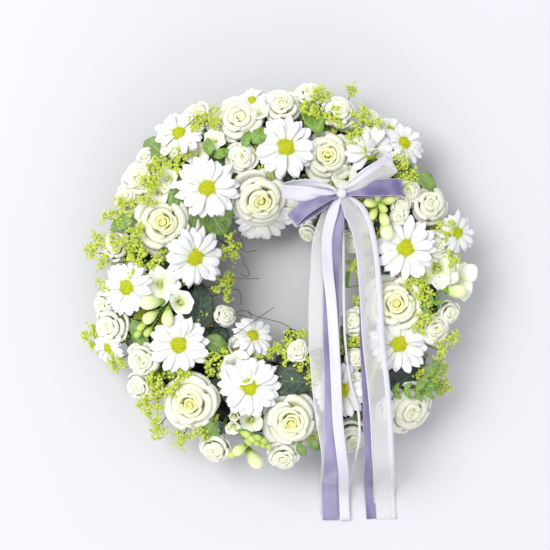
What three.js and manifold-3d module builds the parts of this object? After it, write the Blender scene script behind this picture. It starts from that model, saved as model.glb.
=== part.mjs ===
// A funeral wreath of cut flowers, lying flat: a plastic tray ring with a ring of wet foam in it,
// stems pushed into the foam, and a ribbon bow whose tails run across the hole and over the rim.
// Millimetres, +Z up, +Y towards the top of the wreath. Every stem fans out from the foam's core.
import * as THREE from "three";
import { mergeVertices } from "three/addons/utils/BufferGeometryUtils.js";
import Module from "manifold-3d";

const wasm = await Module();
wasm.setup();

// ---------------------------------------------------------------- driving dimensions
const RING_RADIUS = 145; // centre line of the tray, the foam and the flower bed
const GAP = 0.4; // room left between pieces that touch
const RING_STEPS = 40; // facets round the tray and the foam

const TRAY = { width: 84, height: 16, wall: 2.4 };
const FOAM = { width: 77, bottom: 2.8, top: 48, chamfer: 12 };

// The flower heads' tops follow a dome over the ring.
const BED = { crown: 98, rim: 50, halfWidth: 95 };
const FAN_DEPTH = -25; // heads face away from a circle this high, under the ring's centre line
const STEM_FOOT = 28; // height on the centre line that every stem points to
const STEM_REACH = 0.85; // share of the way to that point where a stem is cut off
const STEM_SIDES = 5;

const KNOT = { x: 70, y: 94, z: 114, size: 12 };
const PICK = { diameter: 3, foot: 22 }; // the wooden pick that carries the bow in the foam
const RIBBON_THICK = 1.2;
const LAVENDER_WIDTH = 20;
const SATIN_WIDTH = 12;
const SHEER_WIDTH = 26;
const NARROW_WIDTH = 3;

// ---------------------------------------------------------------- colours and finishes
function finish(color, roughness) {
  return new THREE.MeshStandardMaterial({ color, roughness, metalness: 0 });
}

const PLASTIC = finish("#16151d", 0.5);
const WET_FOAM = finish("#22332a", 0.95);
const ROSE = finish("#f2f1e2", 0.6);
const DAISY = finish("#f6f7f8", 0.6);
const FREESIA = finish("#f0f2dc", 0.6);
const LADYS_MANTLE = finish("#c4cf3c", 0.8);
const BRIGHT_LEAF = finish("#6e9a3c", 0.55);
const DARK_LEAF = finish("#2d4132", 0.45);
const WOOD = finish("#b99b6b", 0.7);
const LAVENDER = finish("#a79fc8", 0.35);
const WHITE_SATIN = finish("#f3f3f7", 0.35);
const ORGANZA = finish("#e6e9ea", 0.5);

// ---------------------------------------------------------------- the pieces and their places
// name, x, y, head's width, lift above the dome. Where two meet, the one listed first is whole.
const LARGE_ROSES = [
  ["rose_large_1", -21, 84, 72, 4],
  ["rose_large_2", -135, 62, 78, 2],
  ["rose_large_3", 55, 139, 60, 0],
  ["rose_large_4", -104, -148, 71, 4],
  ["rose_large_5", 13, -170, 67, 0],
  ["rose_large_6", 130, -32, 64, 0],
];
const DAISIES = [
  ["daisy_1", -83, 101, 76, 5],
  ["daisy_2", -97, 21, 73, 4],
  ["daisy_3", -116, -79, 71, 4],
  ["daisy_4", 7, 148, 76, 2],
  ["daisy_5", 104, 143, 67, 2],
  ["daisy_6", 144, 32, 74, 2],
  ["daisy_7", 137, -77, 74, -1],
  ["daisy_8", -176, -13, 65, 0],
  ["daisy_9", -117, 165, 62, 0],
  ["daisy_10", -35, -127, 74, 0],
  ["daisy_11", -31, -69, 54, -6],
  ["daisy_12", 71, -132, 70, -9],
  ["daisy_13", 144, 154, 54, -4],
  ["daisy_14", 205, 50, 52, -2],
];
const SMALL_ROSES = [
  ["rose_small_1", 2, 201, 46, 0],
  ["rose_small_2", -50, 189, 52, 0],
  ["rose_small_3", -44, 136, 38, 2],
  ["rose_small_4", -160, -98, 42, 2],
  ["rose_small_5", -199, -60, 46, -2],
  ["rose_small_6", -193, 36, 39, -4],
  ["rose_small_7", -163, 115, 50, -2],
  ["rose_small_8", -98, 191, 40, -8],
  ["rose_small_9", 69, 193, 41, 2],
  ["rose_small_10", 175, 84, 46, 2],
  ["rose_small_11", 181, -62, 39, 0],
  ["rose_small_12", -77, -205, 43, -8],
  ["rose_small_13", 4, -214, 39, -8],
  ["rose_small_14", 152, -154, 50, -8],
  ["rose_small_15", 84, -189, 42, -8],
  ["rose_small_16", -61, -44, 30, -4],
];
// Clumps of lady's mantle: name, x, y, width, lift.
const MANTLE_CLUMPS = [
  ["ladys_mantle_1", -161, 16, 42, 0],
  ["ladys_mantle_2", -214, 24, 34, -2],
  ["ladys_mantle_3", -148, -158, 40, -6],
  ["ladys_mantle_4", 184, -112, 40, -10],
];
// Freesia sprays: name, then each flower or bud as [x, y, width, lift].
const FREESIAS = [
  ["freesia_1", [[-144, -8, 38, 2], [-115, -32, 32, 4], [-131, -50, 18, 2], [-147, -46, 18, 0]]],
  ["freesia_2", [[198, 3, 44, -4], [219, -9, 30, -8], [199, -19, 18, -6]]],
];
// Leaves: name, middle x and y, length, width, compass of the tip in degrees, droop, lift, finish.
const LEAVES = [
  ["leaf_broad", -88, 84, 96, 74, -55, 8, -13, BRIGHT_LEAF],
  ["leaf_ivy", -92, -35, 60, 34, 80, 4, -14, DARK_LEAF],
  ["leaf_long", 3, -121, 74, 34, 178, 6, -12, DARK_LEAF],
  ["leaf_rolled", 150, -116, 60, 40, 30, 10, -16, DARK_LEAF],
];

// Bow loops: name, compass of the fold in degrees, length, width, height of the lower layer
// against the knot's middle, height of the loop, finish.
const LOOPS = [
  ["loop_lavender_left", 205, 60, LAVENDER_WIDTH, -1, 7, LAVENDER],
  ["loop_lavender_right", 5, 64, LAVENDER_WIDTH, -1, 7, LAVENDER],
  ["loop_white_left", 176, 66, LAVENDER_WIDTH, -9, 6, WHITE_SATIN],
  ["loop_white_right", 31, 62, LAVENDER_WIDTH, -9, 6, WHITE_SATIN],
];
// Ribbon tails, top one first: name, width, finish, middle line from the knot to the cut end,
// and the roll about that line in degrees, from the knot to the cut end.
const TAILS = [
  ["tail_satin_white", SATIN_WIDTH, WHITE_SATIN,
    [[68, 92, 114], [60, 72, 113], [54, 45, 104], [55, 10, 93], [59, -28, 90], [62, -75, 96],
      [64, -120, 106], [66, -165, 106], [70, -200, 102], [73, -223, 86], [74.5, -240, 50],
      [75.5, -251, 22], [76.5, -262, 8], [77, -272, 5], [78, -291, 4.8]],
    [0, 0]],
  ["tail_lavender_left", LAVENDER_WIDTH, LAVENDER,
    [[70, 90, 111], [64, 68, 110], [59, 40, 101], [59, 5, 90], [59, -30, 87], [59, -75, 93],
      [60, -120, 103], [60, -165, 103.5], [60, -200, 99], [59.5, -221, 83], [59, -237.5, 47],
      [59, -248, 19], [59.5, -259, 6], [60, -269, 3], [60.5, -291, 2.8]],
    [0, 0]],
  ["tail_organza_left", SHEER_WIDTH, ORGANZA,
    [[68, 87, 108], [58, 64, 107], [50, 38, 98], [48, 5, 87], [46, -30, 84], [46, -75, 90],
      [49, -120, 100], [54, -165, 100.5], [60, -200, 95.5], [61, -218.5, 80], [61, -234.5, 45],
      [61, -245, 17], [61, -256, 4], [61, -266, 1], [61, -284, 0.8]],
    [0, 0]],
  ["tail_organza_right", SHEER_WIDTH, ORGANZA,
    [[72, 90, 114], [82, 78, 113], [92, 60, 110], [99, 30, 108], [104, -25, 106], [107, -75, 105],
      [112, -120, 105], [116, -165, 103], [118, -200, 97], [120, -220, 82], [122, -236, 47],
      [123.5, -247, 19], [124.5, -258, 5], [125.5, -268, 1.2], [127, -291, 0.8]],
    [0, 0]],
  ["tail_lavender_right", SATIN_WIDTH, LAVENDER,
    [[74, 87, 110], [82, 68, 107], [89, 41, 101], [93, -5, 98], [94.3, -51, 98], [97, -120, 98],
      [99, -143, 98], [101.8, -189, 93], [103, -213, 80], [104.5, -232, 48], [105.5, -243, 20],
      [106.5, -254, 5], [107.5, -264, 1.4], [109.5, -290, 1]],
    [20, 58, 58, 55, 40, 12, 0, 0]],
];
// The narrow ribbon, from under the knot to its end on the surface below.
const NARROW_STEPS = 44;
const NARROW_ROUTE = [
  [71, 86, 106.5], [72, 66, 103], [72.5, 41, 96], [73.5, 5, 88], [73.6, -28, 86], [74.8, -74, 92],
  [80.5, -120, 96], [89.7, -154, 95], [91, -186, 92], [88, -206, 80], [86, -221, 55],
  [84.5, -232, 28], [83.5, -241, 10], [82.5, -250, 3.4], [81.5, -262, 1.8],
];

// ---------------------------------------------------------------- solids
/** A closed three.js geometry as a manifold-3d solid. */
function solidOf(geometry) {
  const plain = geometry.clone();
  plain.deleteAttribute("normal");
  plain.deleteAttribute("uv");
  const merged = mergeVertices(plain, 1e-3);
  return new wasm.Manifold(
    new wasm.Mesh({
      numProp: 3,
      vertProperties: new Float32Array(merged.attributes.position.array),
      triVerts: new Uint32Array(merged.index.array),
    }),
  );
}

/** The largest body of a solid: a cut can leave crumbs beside it. */
function largest(solid) {
  const bodies = solid.decompose();
  return bodies.reduce((best, body) => (body.volume() > best.volume() ? body : best));
}

/** A named mesh from a manifold-3d solid. */
function meshOf(name, solid, material) {
  const made = solid.getMesh();
  const geometry = new THREE.BufferGeometry();
  geometry.setAttribute("position", new THREE.BufferAttribute(made.vertProperties, 3));
  geometry.setIndex(new THREE.BufferAttribute(made.triVerts, 1));
  geometry.computeVertexNormals();
  const mesh = new THREE.Mesh(geometry, material);
  mesh.name = name;
  return mesh;
}

/**
 * A shape turned about +Z. Each row is [radius, height, scallop, turn]: the scallop is the share of
 * the radius that the notch between two petals takes away, and the turn shifts it by half a petal.
 */
function petalled(rows, petals, facetsPerPetal) {
  const profile = rows.map(([radius, height]) => new THREE.Vector2(radius, height));
  const geometry = new THREE.LatheGeometry(profile, petals * facetsPerPetal);
  const position = geometry.attributes.position;
  for (let i = 0; i < position.count; i += 1) {
    const [, , scallop = 0, turn = 0] = rows[i % rows.length];
    const angle = petals * Math.atan2(position.getX(i), position.getZ(i)) + turn * Math.PI;
    const share = 1 - scallop * (0.5 - 0.5 * Math.cos(angle));
    position.setX(i, position.getX(i) * share);
    position.setZ(i, position.getZ(i) * share);
  }
  return geometry.rotateX(Math.PI / 2);
}

/** Rows scaled by a head's width, and grown by a margin for a cutter. */
function scaled(rows, width, margin = 0) {
  return rows.map(([radius, height, ...wave]) => [
    radius === 0 ? 0 : radius * width + margin,
    height * width + Math.sign(height + 0.1) * margin,
    ...wave,
  ]);
}

/** A rod between two points. */
function rod(from, to, radius) {
  const axis = to.clone().sub(from);
  const geometry = new THREE.CylinderGeometry(radius, radius, axis.length(), STEM_SIDES);
  geometry.translate(0, axis.length() / 2, 0);
  const turn = new THREE.Quaternion().setFromUnitVectors(
    new THREE.Vector3(0, 1, 0),
    axis.normalize(),
  );
  return geometry.applyQuaternion(turn).translate(from.x, from.y, from.z);
}

/**
 * A flat strip along a curve. widthAt and rollAt give its width and its roll about the curve, in
 * radians, for a share of the length, and cup is how far its edges rise, as a share of its width.
 */
function strip(curve, steps, across, widthAt, rollAt, thickness, cup = 0) {
  const geometry = new THREE.BoxGeometry(1, 1, 1, across, steps, 1);
  const position = geometry.attributes.position;
  const up = new THREE.Vector3(0, 0, 1);
  for (let i = 0; i < position.count; i += 1) {
    const share = position.getY(i) + 0.5;
    const sideways = position.getX(i);
    const width = widthAt(share);
    const tangent = curve.getTangentAt(share);
    const side = tangent.clone().cross(up).normalize().applyAxisAngle(tangent, rollAt(share));
    const face = side.clone().cross(tangent);
    const point = curve
      .getPointAt(share)
      .addScaledVector(side, sideways * width)
      .addScaledVector(face, position.getZ(i) * thickness + cup * Math.abs(sideways) * width);
    position.setXYZ(i, point.x, point.y, point.z);
  }
  return geometry;
}

/** The value at a share of a list of evenly spaced values. */
function along(values, share) {
  const at = share * (values.length - 1);
  const low = Math.min(Math.floor(at), values.length - 2);
  return values[low] + (values[low + 1] - values[low]) * (at - low);
}

// ---------------------------------------------------------------- places on the bed
/** The point on the dome over (x, y), the way a head there faces, and where its stem ends. */
function placeOf(x, y, lift) {
  const across = Math.hypot(x, y) - RING_RADIUS;
  const share = Math.min(1, Math.abs(across) / BED.halfWidth);
  const height = BED.rim + (BED.crown - BED.rim) * Math.sqrt(1 - share * share) + lift;
  const point = new THREE.Vector3(x, y, height);
  const core = new THREE.Vector3(x, y, 0).setLength(RING_RADIUS);
  const facing = point.clone().sub(core.clone().setZ(FAN_DEPTH)).normalize();
  const foot = point.clone().lerp(core.clone().setZ(STEM_FOOT), STEM_REACH);
  return { point, facing, foot };
}

/** A geometry made facing +Z, turned to face as its place does and moved there. */
function placed(geometry, place) {
  const turn = new THREE.Quaternion().setFromUnitVectors(
    new THREE.Vector3(0, 0, 1),
    place.facing,
  );
  return geometry.applyQuaternion(turn).translate(place.point.x, place.point.y, place.point.z);
}

// ---------------------------------------------------------------- assembly
const wreath = new THREE.Group();
const cutters = []; // room that each finished piece keeps for itself
const stems = []; // rods that the foam gets holes for

/** Adds a piece, cut back where earlier pieces are, and keeps its own room free. */
function addPiece(name, solid, material, room) {
  let rest = solid;
  for (const cutter of cutters) rest = rest.subtract(cutter);
  wreath.add(meshOf(name, largest(rest), material));
  cutters.push(...room);
}

/** Adds a head on a stem, from its head's geometry and the cutter's, both facing +Z. */
function addHead(name, head, room, place, depth, stemRadius, material) {
  const neck = place.point.clone().addScaledVector(place.facing, -depth);
  const stem = solidOf(rod(neck, place.foot, stemRadius));
  const hole = solidOf(rod(neck, place.foot, stemRadius + GAP));
  stems.push(hole);
  const whole = solidOf(placed(head, place)).add(stem);
  addPiece(name, whole, material, [solidOf(placed(room, place)), hole]);
}

// Rows of [radius, height, scallop, turn] as shares of the head's width.
const ROSE_ROWS = [
  [0, -0.5], [0.12, -0.48], [0.36, -0.34], [0.5, -0.16, 0.1], [0.47, -0.1, 0.12],
  [0.33, -0.16], [0.34, -0.05, 0.14, 1], [0.2, -0.09], [0.2, -0.01, 0.16], [0, -0.05],
];
const BUD_ROWS = [
  [0, -0.62], [0.14, -0.58], [0.46, -0.34], [0.5, -0.14, 0.1], [0.3, -0.1, 0.1, 1],
  [0.22, 0, 0.1], [0, -0.06],
];
const HEAD_ROOM = [
  [0, -0.62], [0.16, -0.6], [0.48, -0.36], [0.5, -0.1], [0.34, 0], [0, 0.01],
];
const DAISY_ROWS = [
  [0, -0.13], [0.5, -0.075, 0.2], [0.49, -0.05, 0.2], [0.15, -0.07], [0, 0],
];
const DAISY_ROOM = [[0, -0.13], [0.5, -0.085], [0.5, -0.04], [0.17, 0], [0, 0.01]];
const CLUMP_ROWS = [
  [0, -0.5], [0.3, -0.42, 0.3], [0.5, -0.2, 0.35, 1], [0.36, -0.04, 0.35], [0, 0],
];
const ROOM_SIDES = 12;
const ROOM_GROWTH = 1 / Math.cos(Math.PI / ROOM_SIDES); // the cutter's facets clear the full round

function roomOf(rows, width) {
  return petalled(scaled(rows, width * ROOM_GROWTH, GAP), ROOM_SIDES, 1);
}

function addRose([name, x, y, width, lift], rows, petals, facets) {
  const head = petalled(scaled(rows, width), petals, facets);
  const depth = 0.4 * width;
  addHead(name, head, roomOf(HEAD_ROOM, width), placeOf(x, y, lift), depth, 2.2, ROSE);
}

function addDaisy([name, x, y, width, lift]) {
  const head = petalled(scaled(DAISY_ROWS, width), 16, 2);
  addHead(name, head, roomOf(DAISY_ROOM, width), placeOf(x, y, lift), 0.1 * width, 1.6, DAISY);
}

function addClump([name, x, y, width, lift]) {
  const head = petalled(scaled(CLUMP_ROWS, width), 7, 2);
  const place = placeOf(x, y, lift);
  addHead(name, head, roomOf(HEAD_ROOM, width), place, 0.3 * width, 1.2, LADYS_MANTLE);
}

/** A freesia: an open flower on its stem, with the next flowers and buds joined to it by rods. */
function addFreesia([name, flowers]) {
  const [first, ...others] = flowers.map(([x, y, width, lift]) => ({
    width,
    ...placeOf(x, y, lift),
  }));
  const neckOf = (flower) =>
    flower.point.clone().addScaledVector(flower.facing, -0.3 * flower.width);
  const bloom = (flower) => petalled(scaled(BUD_ROWS, flower.width), 5, 2);
  let solid = solidOf(placed(bloom(first), first)).add(
    solidOf(rod(neckOf(first), first.foot, 1.5)),
  );
  let joint = neckOf(first);
  for (const flower of others) {
    solid = solid.add(solidOf(placed(bloom(flower), flower)));
    solid = solid.add(solidOf(rod(joint, neckOf(flower), 1.5)));
    joint = neckOf(flower);
  }
  const hole = solidOf(rod(neckOf(first), first.foot, 1.5 + GAP));
  stems.push(hole);
  const rooms = [first, ...others].map((f) => solidOf(placed(roomOf(HEAD_ROOM, f.width), f)));
  addPiece(name, solid, FREESIA, [...rooms, hole]);
}

/** A leaf on its stalk: a cupped blade along a drooping midrib, widest before its middle. */
function addLeaf([name, x, y, length, width, compass, droop, lift, material]) {
  const place = placeOf(x, y, lift);
  const tipward = new THREE.Vector3(1, 0, 0).applyAxisAngle(
    new THREE.Vector3(0, 0, 1),
    THREE.MathUtils.degToRad(compass),
  );
  tipward.projectOnPlane(place.facing).normalize();
  const at = (share) =>
    place.point
      .clone()
      .addScaledVector(tipward, (share - 0.5) * length)
      .addScaledVector(place.facing, -4 * droop * (share - 0.4) ** 2);
  const midrib = new THREE.CatmullRomCurve3([0, 0.25, 0.5, 0.75, 1].map(at));
  const widthAt = (share) => width * Math.max(0.06, Math.sin(Math.PI * share ** 0.75) ** 0.7);
  const blade = solidOf(strip(midrib, 8, 2, widthAt, () => 0, 1.2, 0.12));
  const room = solidOf(
    strip(midrib, 8, 2, (share) => widthAt(share) + 2 * GAP, () => 0, 1.2 + 2 * GAP, 0.12),
  );
  const base = at(0.3);
  const stalk = solidOf(rod(base, place.foot, 1.4));
  const hole = solidOf(rod(base, place.foot, 1.4 + GAP));
  stems.push(hole);
  addPiece(name, blade.add(stalk), material, [room, hole]);
}

/** A ribbon along its middle line, and the same with the margin that others keep clear of it. */
function addRibbon(name, curve, steps, widthAt, rollAt, material) {
  const made = (margin) =>
    solidOf(
      strip(curve, steps, 1, (s) => widthAt(s) + 2 * margin, rollAt, RIBBON_THICK + 2 * margin),
    );
  addPiece(name, made(0), material, [made(GAP)]);
}

function addKnot() {
  const made = (margin) => {
    const ball = new THREE.SphereGeometry(KNOT.size / 2 + margin, 8, 6);
    return solidOf(ball.scale(1.1, 1, 0.9).translate(KNOT.x, KNOT.y, KNOT.z));
  };
  addPiece("bow_knot", made(0), WHITE_SATIN, [made(GAP)]);
}

/** The pick under the knot, upright in the foam. */
function addPick() {
  const head = new THREE.Vector3(KNOT.x, KNOT.y, KNOT.z - KNOT.size / 2);
  const foot = new THREE.Vector3(KNOT.x, KNOT.y, PICK.foot);
  const made = (margin) => solidOf(rod(head, foot, PICK.diameter / 2 + margin));
  stems.push(made(GAP));
  addPiece("bow_pick", made(0), WOOD, [made(GAP)]);
}

/** The narrow ribbon, plain and round, along its route. */
function addNarrow() {
  const curve = new THREE.CatmullRomCurve3(NARROW_ROUTE.map((p) => new THREE.Vector3(...p)));
  const made = (margin) => {
    const section = new THREE.Shape();
    section.absarc(0, 0, NARROW_WIDTH / 2 + margin, 0, 2 * Math.PI, false);
    const tube = new THREE.ExtrudeGeometry(section, {
      steps: NARROW_STEPS,
      curveSegments: 4,
      extrudePath: curve,
    });
    return solidOf(tube);
  };
  addPiece("tail_narrow_white", made(0), WHITE_SATIN, [made(GAP)]);
}

function addLoop([name, compass, length, width, low, height, material]) {
  const angle = THREE.MathUtils.degToRad(compass);
  const at = (reach, rise) =>
    new THREE.Vector3(
      KNOT.x + reach * Math.cos(angle),
      KNOT.y + reach * Math.sin(angle),
      KNOT.z + low + rise,
    );
  const reach = length - height / 2;
  const path = [
    at(3, height * 0.3), at(length * 0.3, 0), at(length * 0.65, -height * 0.1),
    at(reach, 0), at(length, height / 2), at(reach, height),
    at(length * 0.65, height * 1.15), at(length * 0.3, height), at(3, height * 0.7),
  ];
  const widthAt = (share) => width * (0.35 + 0.65 * Math.sin(Math.PI * share) ** 0.6);
  addRibbon(name, new THREE.CatmullRomCurve3(path), 20, widthAt, () => 0, material);
}

function addTail([name, width, material, route, rolls]) {
  const curve = new THREE.CatmullRomCurve3(route.map((p) => new THREE.Vector3(...p)));
  const widthAt = (share) => width * Math.min(1, 0.4 + 8 * share);
  const rollAt = (share) => THREE.MathUtils.degToRad(along(rolls, share));
  addRibbon(name, curve, 26, widthAt, rollAt, material);
}

/** The tray: a shallow channel turned about the ring's axis. */
function addTray() {
  const { width, height, wall } = TRAY;
  const inner = RING_RADIUS - width / 2;
  const outer = RING_RADIUS + width / 2;
  const profile = [
    [inner, 0], [outer, 0], [outer, height], [outer - wall, height],
    [outer - wall, wall], [inner + wall, wall], [inner + wall, height], [inner, height],
    [inner, 0],
  ].map(([radius, z]) => new THREE.Vector2(radius, z));
  const ring = new THREE.LatheGeometry(profile, RING_STEPS).rotateX(Math.PI / 2);
  wreath.add(meshOf("tray_ring", solidOf(ring), PLASTIC));
}

/** The foam ring, with a hole for each stem. */
function addFoam() {
  const { width, bottom, top, chamfer } = FOAM;
  const inner = RING_RADIUS - width / 2;
  const outer = RING_RADIUS + width / 2;
  const profile = [
    [inner, bottom], [outer, bottom], [outer, top - chamfer], [outer - chamfer, top],
    [inner + chamfer, top], [inner, top - chamfer], [inner, bottom],
  ].map(([radius, z]) => new THREE.Vector2(radius, z));
  let foam = solidOf(new THREE.LatheGeometry(profile, RING_STEPS).rotateX(Math.PI / 2));
  for (const stem of stems) foam = foam.subtract(stem);
  wreath.add(meshOf("foam_ring", largest(foam), WET_FOAM));
}

addKnot();
addPick();
LOOPS.forEach(addLoop);
TAILS.forEach(addTail);
addNarrow();
LARGE_ROSES.forEach((rose) => addRose(rose, ROSE_ROWS, 5, 3));
DAISIES.forEach(addDaisy);
SMALL_ROSES.forEach((rose) => addRose(rose, BUD_ROWS, 5, 2));
FREESIAS.forEach(addFreesia);
MANTLE_CLUMPS.forEach(addClump);
LEAVES.forEach(addLeaf);
addTray();
addFoam();

// The part's origin is the middle of its box, on the surface that it lies on.
const box = new THREE.Box3().setFromObject(wreath);
const middle = box.getCenter(new THREE.Vector3());
wreath.position.set(-middle.x, -middle.y, -box.min.z);

export default wreath;
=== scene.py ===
"""Dresses a funeral wreath: cut flowers in a foam ring, with a ribbon bow and long tails.

Lengths are millimetres, and places are measured from the middle of the ring, +X right, +Y to the
wreath's top, +Z up. place() and TO_FRAME turn them into the frame's metres.
"""
import math
import random

import bmesh
import bpy
from mathutils import Matrix, Vector


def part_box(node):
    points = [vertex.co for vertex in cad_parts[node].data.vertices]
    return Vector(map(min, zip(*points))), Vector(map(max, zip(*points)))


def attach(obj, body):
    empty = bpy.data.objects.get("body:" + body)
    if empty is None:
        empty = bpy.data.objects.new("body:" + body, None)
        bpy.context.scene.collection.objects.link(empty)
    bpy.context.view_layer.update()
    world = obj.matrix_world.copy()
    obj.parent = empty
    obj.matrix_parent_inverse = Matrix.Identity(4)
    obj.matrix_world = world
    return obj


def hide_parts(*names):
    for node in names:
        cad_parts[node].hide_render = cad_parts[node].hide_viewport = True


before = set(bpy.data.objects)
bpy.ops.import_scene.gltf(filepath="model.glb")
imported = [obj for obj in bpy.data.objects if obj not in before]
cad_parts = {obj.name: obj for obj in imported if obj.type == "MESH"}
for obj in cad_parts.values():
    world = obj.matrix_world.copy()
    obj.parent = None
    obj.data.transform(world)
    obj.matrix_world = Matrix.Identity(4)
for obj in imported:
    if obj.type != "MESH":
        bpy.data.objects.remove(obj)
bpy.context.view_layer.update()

bl_info = {
    "name": "Funeral wreath",
    "version": (1, 0, 0),
    "blender": (4, 5, 0),
    "location": "3D View > Sidebar > Wreath",
    "description": "Makes the flowers, leaves and ribbons of a funeral wreath on its foam ring",
    "category": "Object",
}

# ---------------------------------------------------------------- the bed that the heads lie on
MM = 0.001
TRAY_LOW, TRAY_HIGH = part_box("tray_ring")
RING_MIDDLE = Vector(((TRAY_LOW.x + TRAY_HIGH.x) / 2, (TRAY_LOW.y + TRAY_HIGH.y) / 2, 0))
TO_FRAME = Matrix.Translation(RING_MIDDLE) @ Matrix.Scale(MM, 4)
# The bed's centre line, the heights of the heads' tops over it and at the bed's two rims, and
# half the bed's width.
RING_RADIUS = 145
CROWN = 98
RIM = 50
HALF_WIDTH = 95
# The heads face away from a line this high inside the ring.
FAN_DEPTH = -25
# Stems run this share of the way to a line this high in the foam.
STEM_REACH = 0.85
STEM_FOOT = 28


def place(x, y, z):
    """A point of the tables in the frame's metres."""
    return RING_MIDDLE + Vector((x, y, z)) * MM


def heading(angle):
    """A level vector, 1 long, at an angle in radians from +X."""
    return Vector((math.cos(angle), math.sin(angle), 0))


def bed_height(x, y):
    """The height of the flower heads' tops over (x, y)."""
    across = abs(math.hypot(x, y) - RING_RADIUS) / HALF_WIDTH
    return RIM + (CROWN - RIM) * math.sqrt(max(0.0, 1 - across * across))


def core_point(x, y, z):
    """The point of the ring's centre line nearest to (x, y), at height z."""
    share = RING_RADIUS / math.hypot(x, y)
    return Vector((x * share, y * share, z))


def seat(x, y, lift=0.0, spin=0.0, lean=1.0):
    """The matrix that seats a head made facing +Z, in millimetres, on the bed."""
    point = Vector((x, y, bed_height(x, y) + lift))
    facing = (point - core_point(x, y, FAN_DEPTH)).normalized()
    facing = Vector((0, 0, 1)).lerp(facing, lean).normalized()
    turn = facing.to_track_quat("Z", "Y").to_matrix().to_4x4()
    return TO_FRAME @ Matrix.Translation(point) @ turn @ Matrix.Rotation(spin, 4, "Z")


def stem_foot(head, x, y):
    """Where the stem of a head over (x, y) ends in the foam, from the head's place in the frame."""
    return head.lerp(place(*core_point(x, y, STEM_FOOT)), STEM_REACH)


def clamp(value, low=0.0, high=1.0):
    """The value, kept between low and high."""
    return max(low, min(high, value))


def blend(low, high, share):
    """The value at a share of the way from low to high."""
    return low + (high - low) * share


def bezier(start, middle, end, share):
    """The value at a share of a curve that leaves start for middle and comes in to end from it."""
    rest = 1 - share
    return rest * rest * start + 2 * share * rest * middle + share * share * end


# ---------------------------------------------------------------- colours and node helper
def linear(hex_colour):
    """An sRGB hex colour as linear red, green, blue and alpha."""
    channels = [int(hex_colour[i:i + 2], 16) / 255 for i in (1, 3, 5)]
    rgb = [c / 12.92 if c <= 0.04045 else ((c + 0.055) / 1.055) ** 2.4 for c in channels]
    return (*rgb, 1.0)


def add_node(tree, kind, inputs=(), output=0, stops=(), **settings):
    """Adds a shader node and gives one of its outputs.

    Inputs are named, or listed in the node's own order. Each is another node's output, a value or
    a hex colour. Stops are a ramp's positions and hex colours. The rest are the node's settings.
    """
    node = tree.nodes.new("ShaderNode" + kind)
    for name, value in settings.items():
        setattr(node, name, value)
    for name, value in inputs.items() if isinstance(inputs, dict) else enumerate(inputs):
        if isinstance(value, bpy.types.NodeSocket):
            tree.links.new(value, node.inputs[name])
        else:
            node.inputs[name].default_value = linear(value) if isinstance(value, str) else value
    for index, (position, colour) in enumerate(stops):
        elements = node.color_ramp.elements
        element = elements[index] if index < len(elements) else elements.new(position)
        element.position = position
        element.color = linear(colour)
    return node.outputs[output] if node.outputs else None


def new_material(name, *measures):
    """An empty material, its node tree, and those of its mesh's measures that it reads."""
    material = bpy.data.materials.new(name)
    material.use_nodes = True
    tree = material.node_tree
    tree.nodes.clear()
    outputs = [add_node(tree, "Attribute", output="Fac", attribute_name=m) for m in measures]
    return material, tree, *outputs


# ---------------------------------------------------------------- materials
# What a mesh says of each of its points: how far it is along its petal, leaf or ribbon, 0 to 1,
# how far across, -1 to 1, and its tone: how near the flower's heart, or how much painted shade a
# ribbon's face gets.
MEASURES = ("along", "across", "tone")


def petal_material(name, stops, foot_colour, veins, roughness, glow):
    """A live petal: thin waxy skin over wet cells, so light soaks in and comes back soft.

    Its tone runs from the flower's outside to its heart, the foot of each petal is greener,
    and fine veins run from foot to tip.
    """
    material, tree, along, across, tone = new_material(name, *MEASURES)
    spot = add_node(tree, "TexCoord", output="Object")
    base = add_node(tree, "ValToRGB", {"Fac": tone}, stops=stops)
    below = add_node(tree, "Math", [1.0, along], operation="SUBTRACT")
    below = add_node(tree, "Math", [below, 1.8], operation="POWER")
    base = add_node(
        tree, "Mix", {0: below, 6: base, 7: foot_colour}, output=2, data_type="RGBA",
    )
    mottle = add_node(tree, "TexNoise", {"Vector": spot, "Scale": 1 / (9 * MM)})
    mottle = add_node(tree, "Math", [mottle, 0.08], operation="MULTIPLY")
    base = add_node(
        tree, "Mix", {0: mottle, 6: base, 7: "#ccd2b4"}, output=2, data_type="RGBA",
        blend_type="MULTIPLY",
    )
    lines = add_node(tree, "Math", [across, veins * math.pi], operation="MULTIPLY")
    lines = add_node(tree, "Math", [lines], operation="SINE")
    grain = add_node(tree, "TexNoise", {"Vector": spot, "Scale": 1 / (3 * MM)})
    relief = add_node(tree, "Math", [grain, 1.5, lines], operation="MULTIPLY_ADD")
    bump = add_node(tree, "Bump", {"Strength": 0.2, "Distance": 0.15 * MM, "Height": relief})
    skin = add_node(
        tree, "BsdfPrincipled",
        {
            "Base Color": base, "Normal": bump, "Roughness": roughness, "IOR": 1.4,
            "Subsurface Weight": glow, "Subsurface Scale": 2 * MM,
            "Subsurface Radius": (1.0, 0.95, 0.6), "Sheen Weight": 0.1, "Sheen Roughness": 0.5,
        },
    )
    add_node(tree, "OutputMaterial", {"Surface": skin})
    return material


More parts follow.
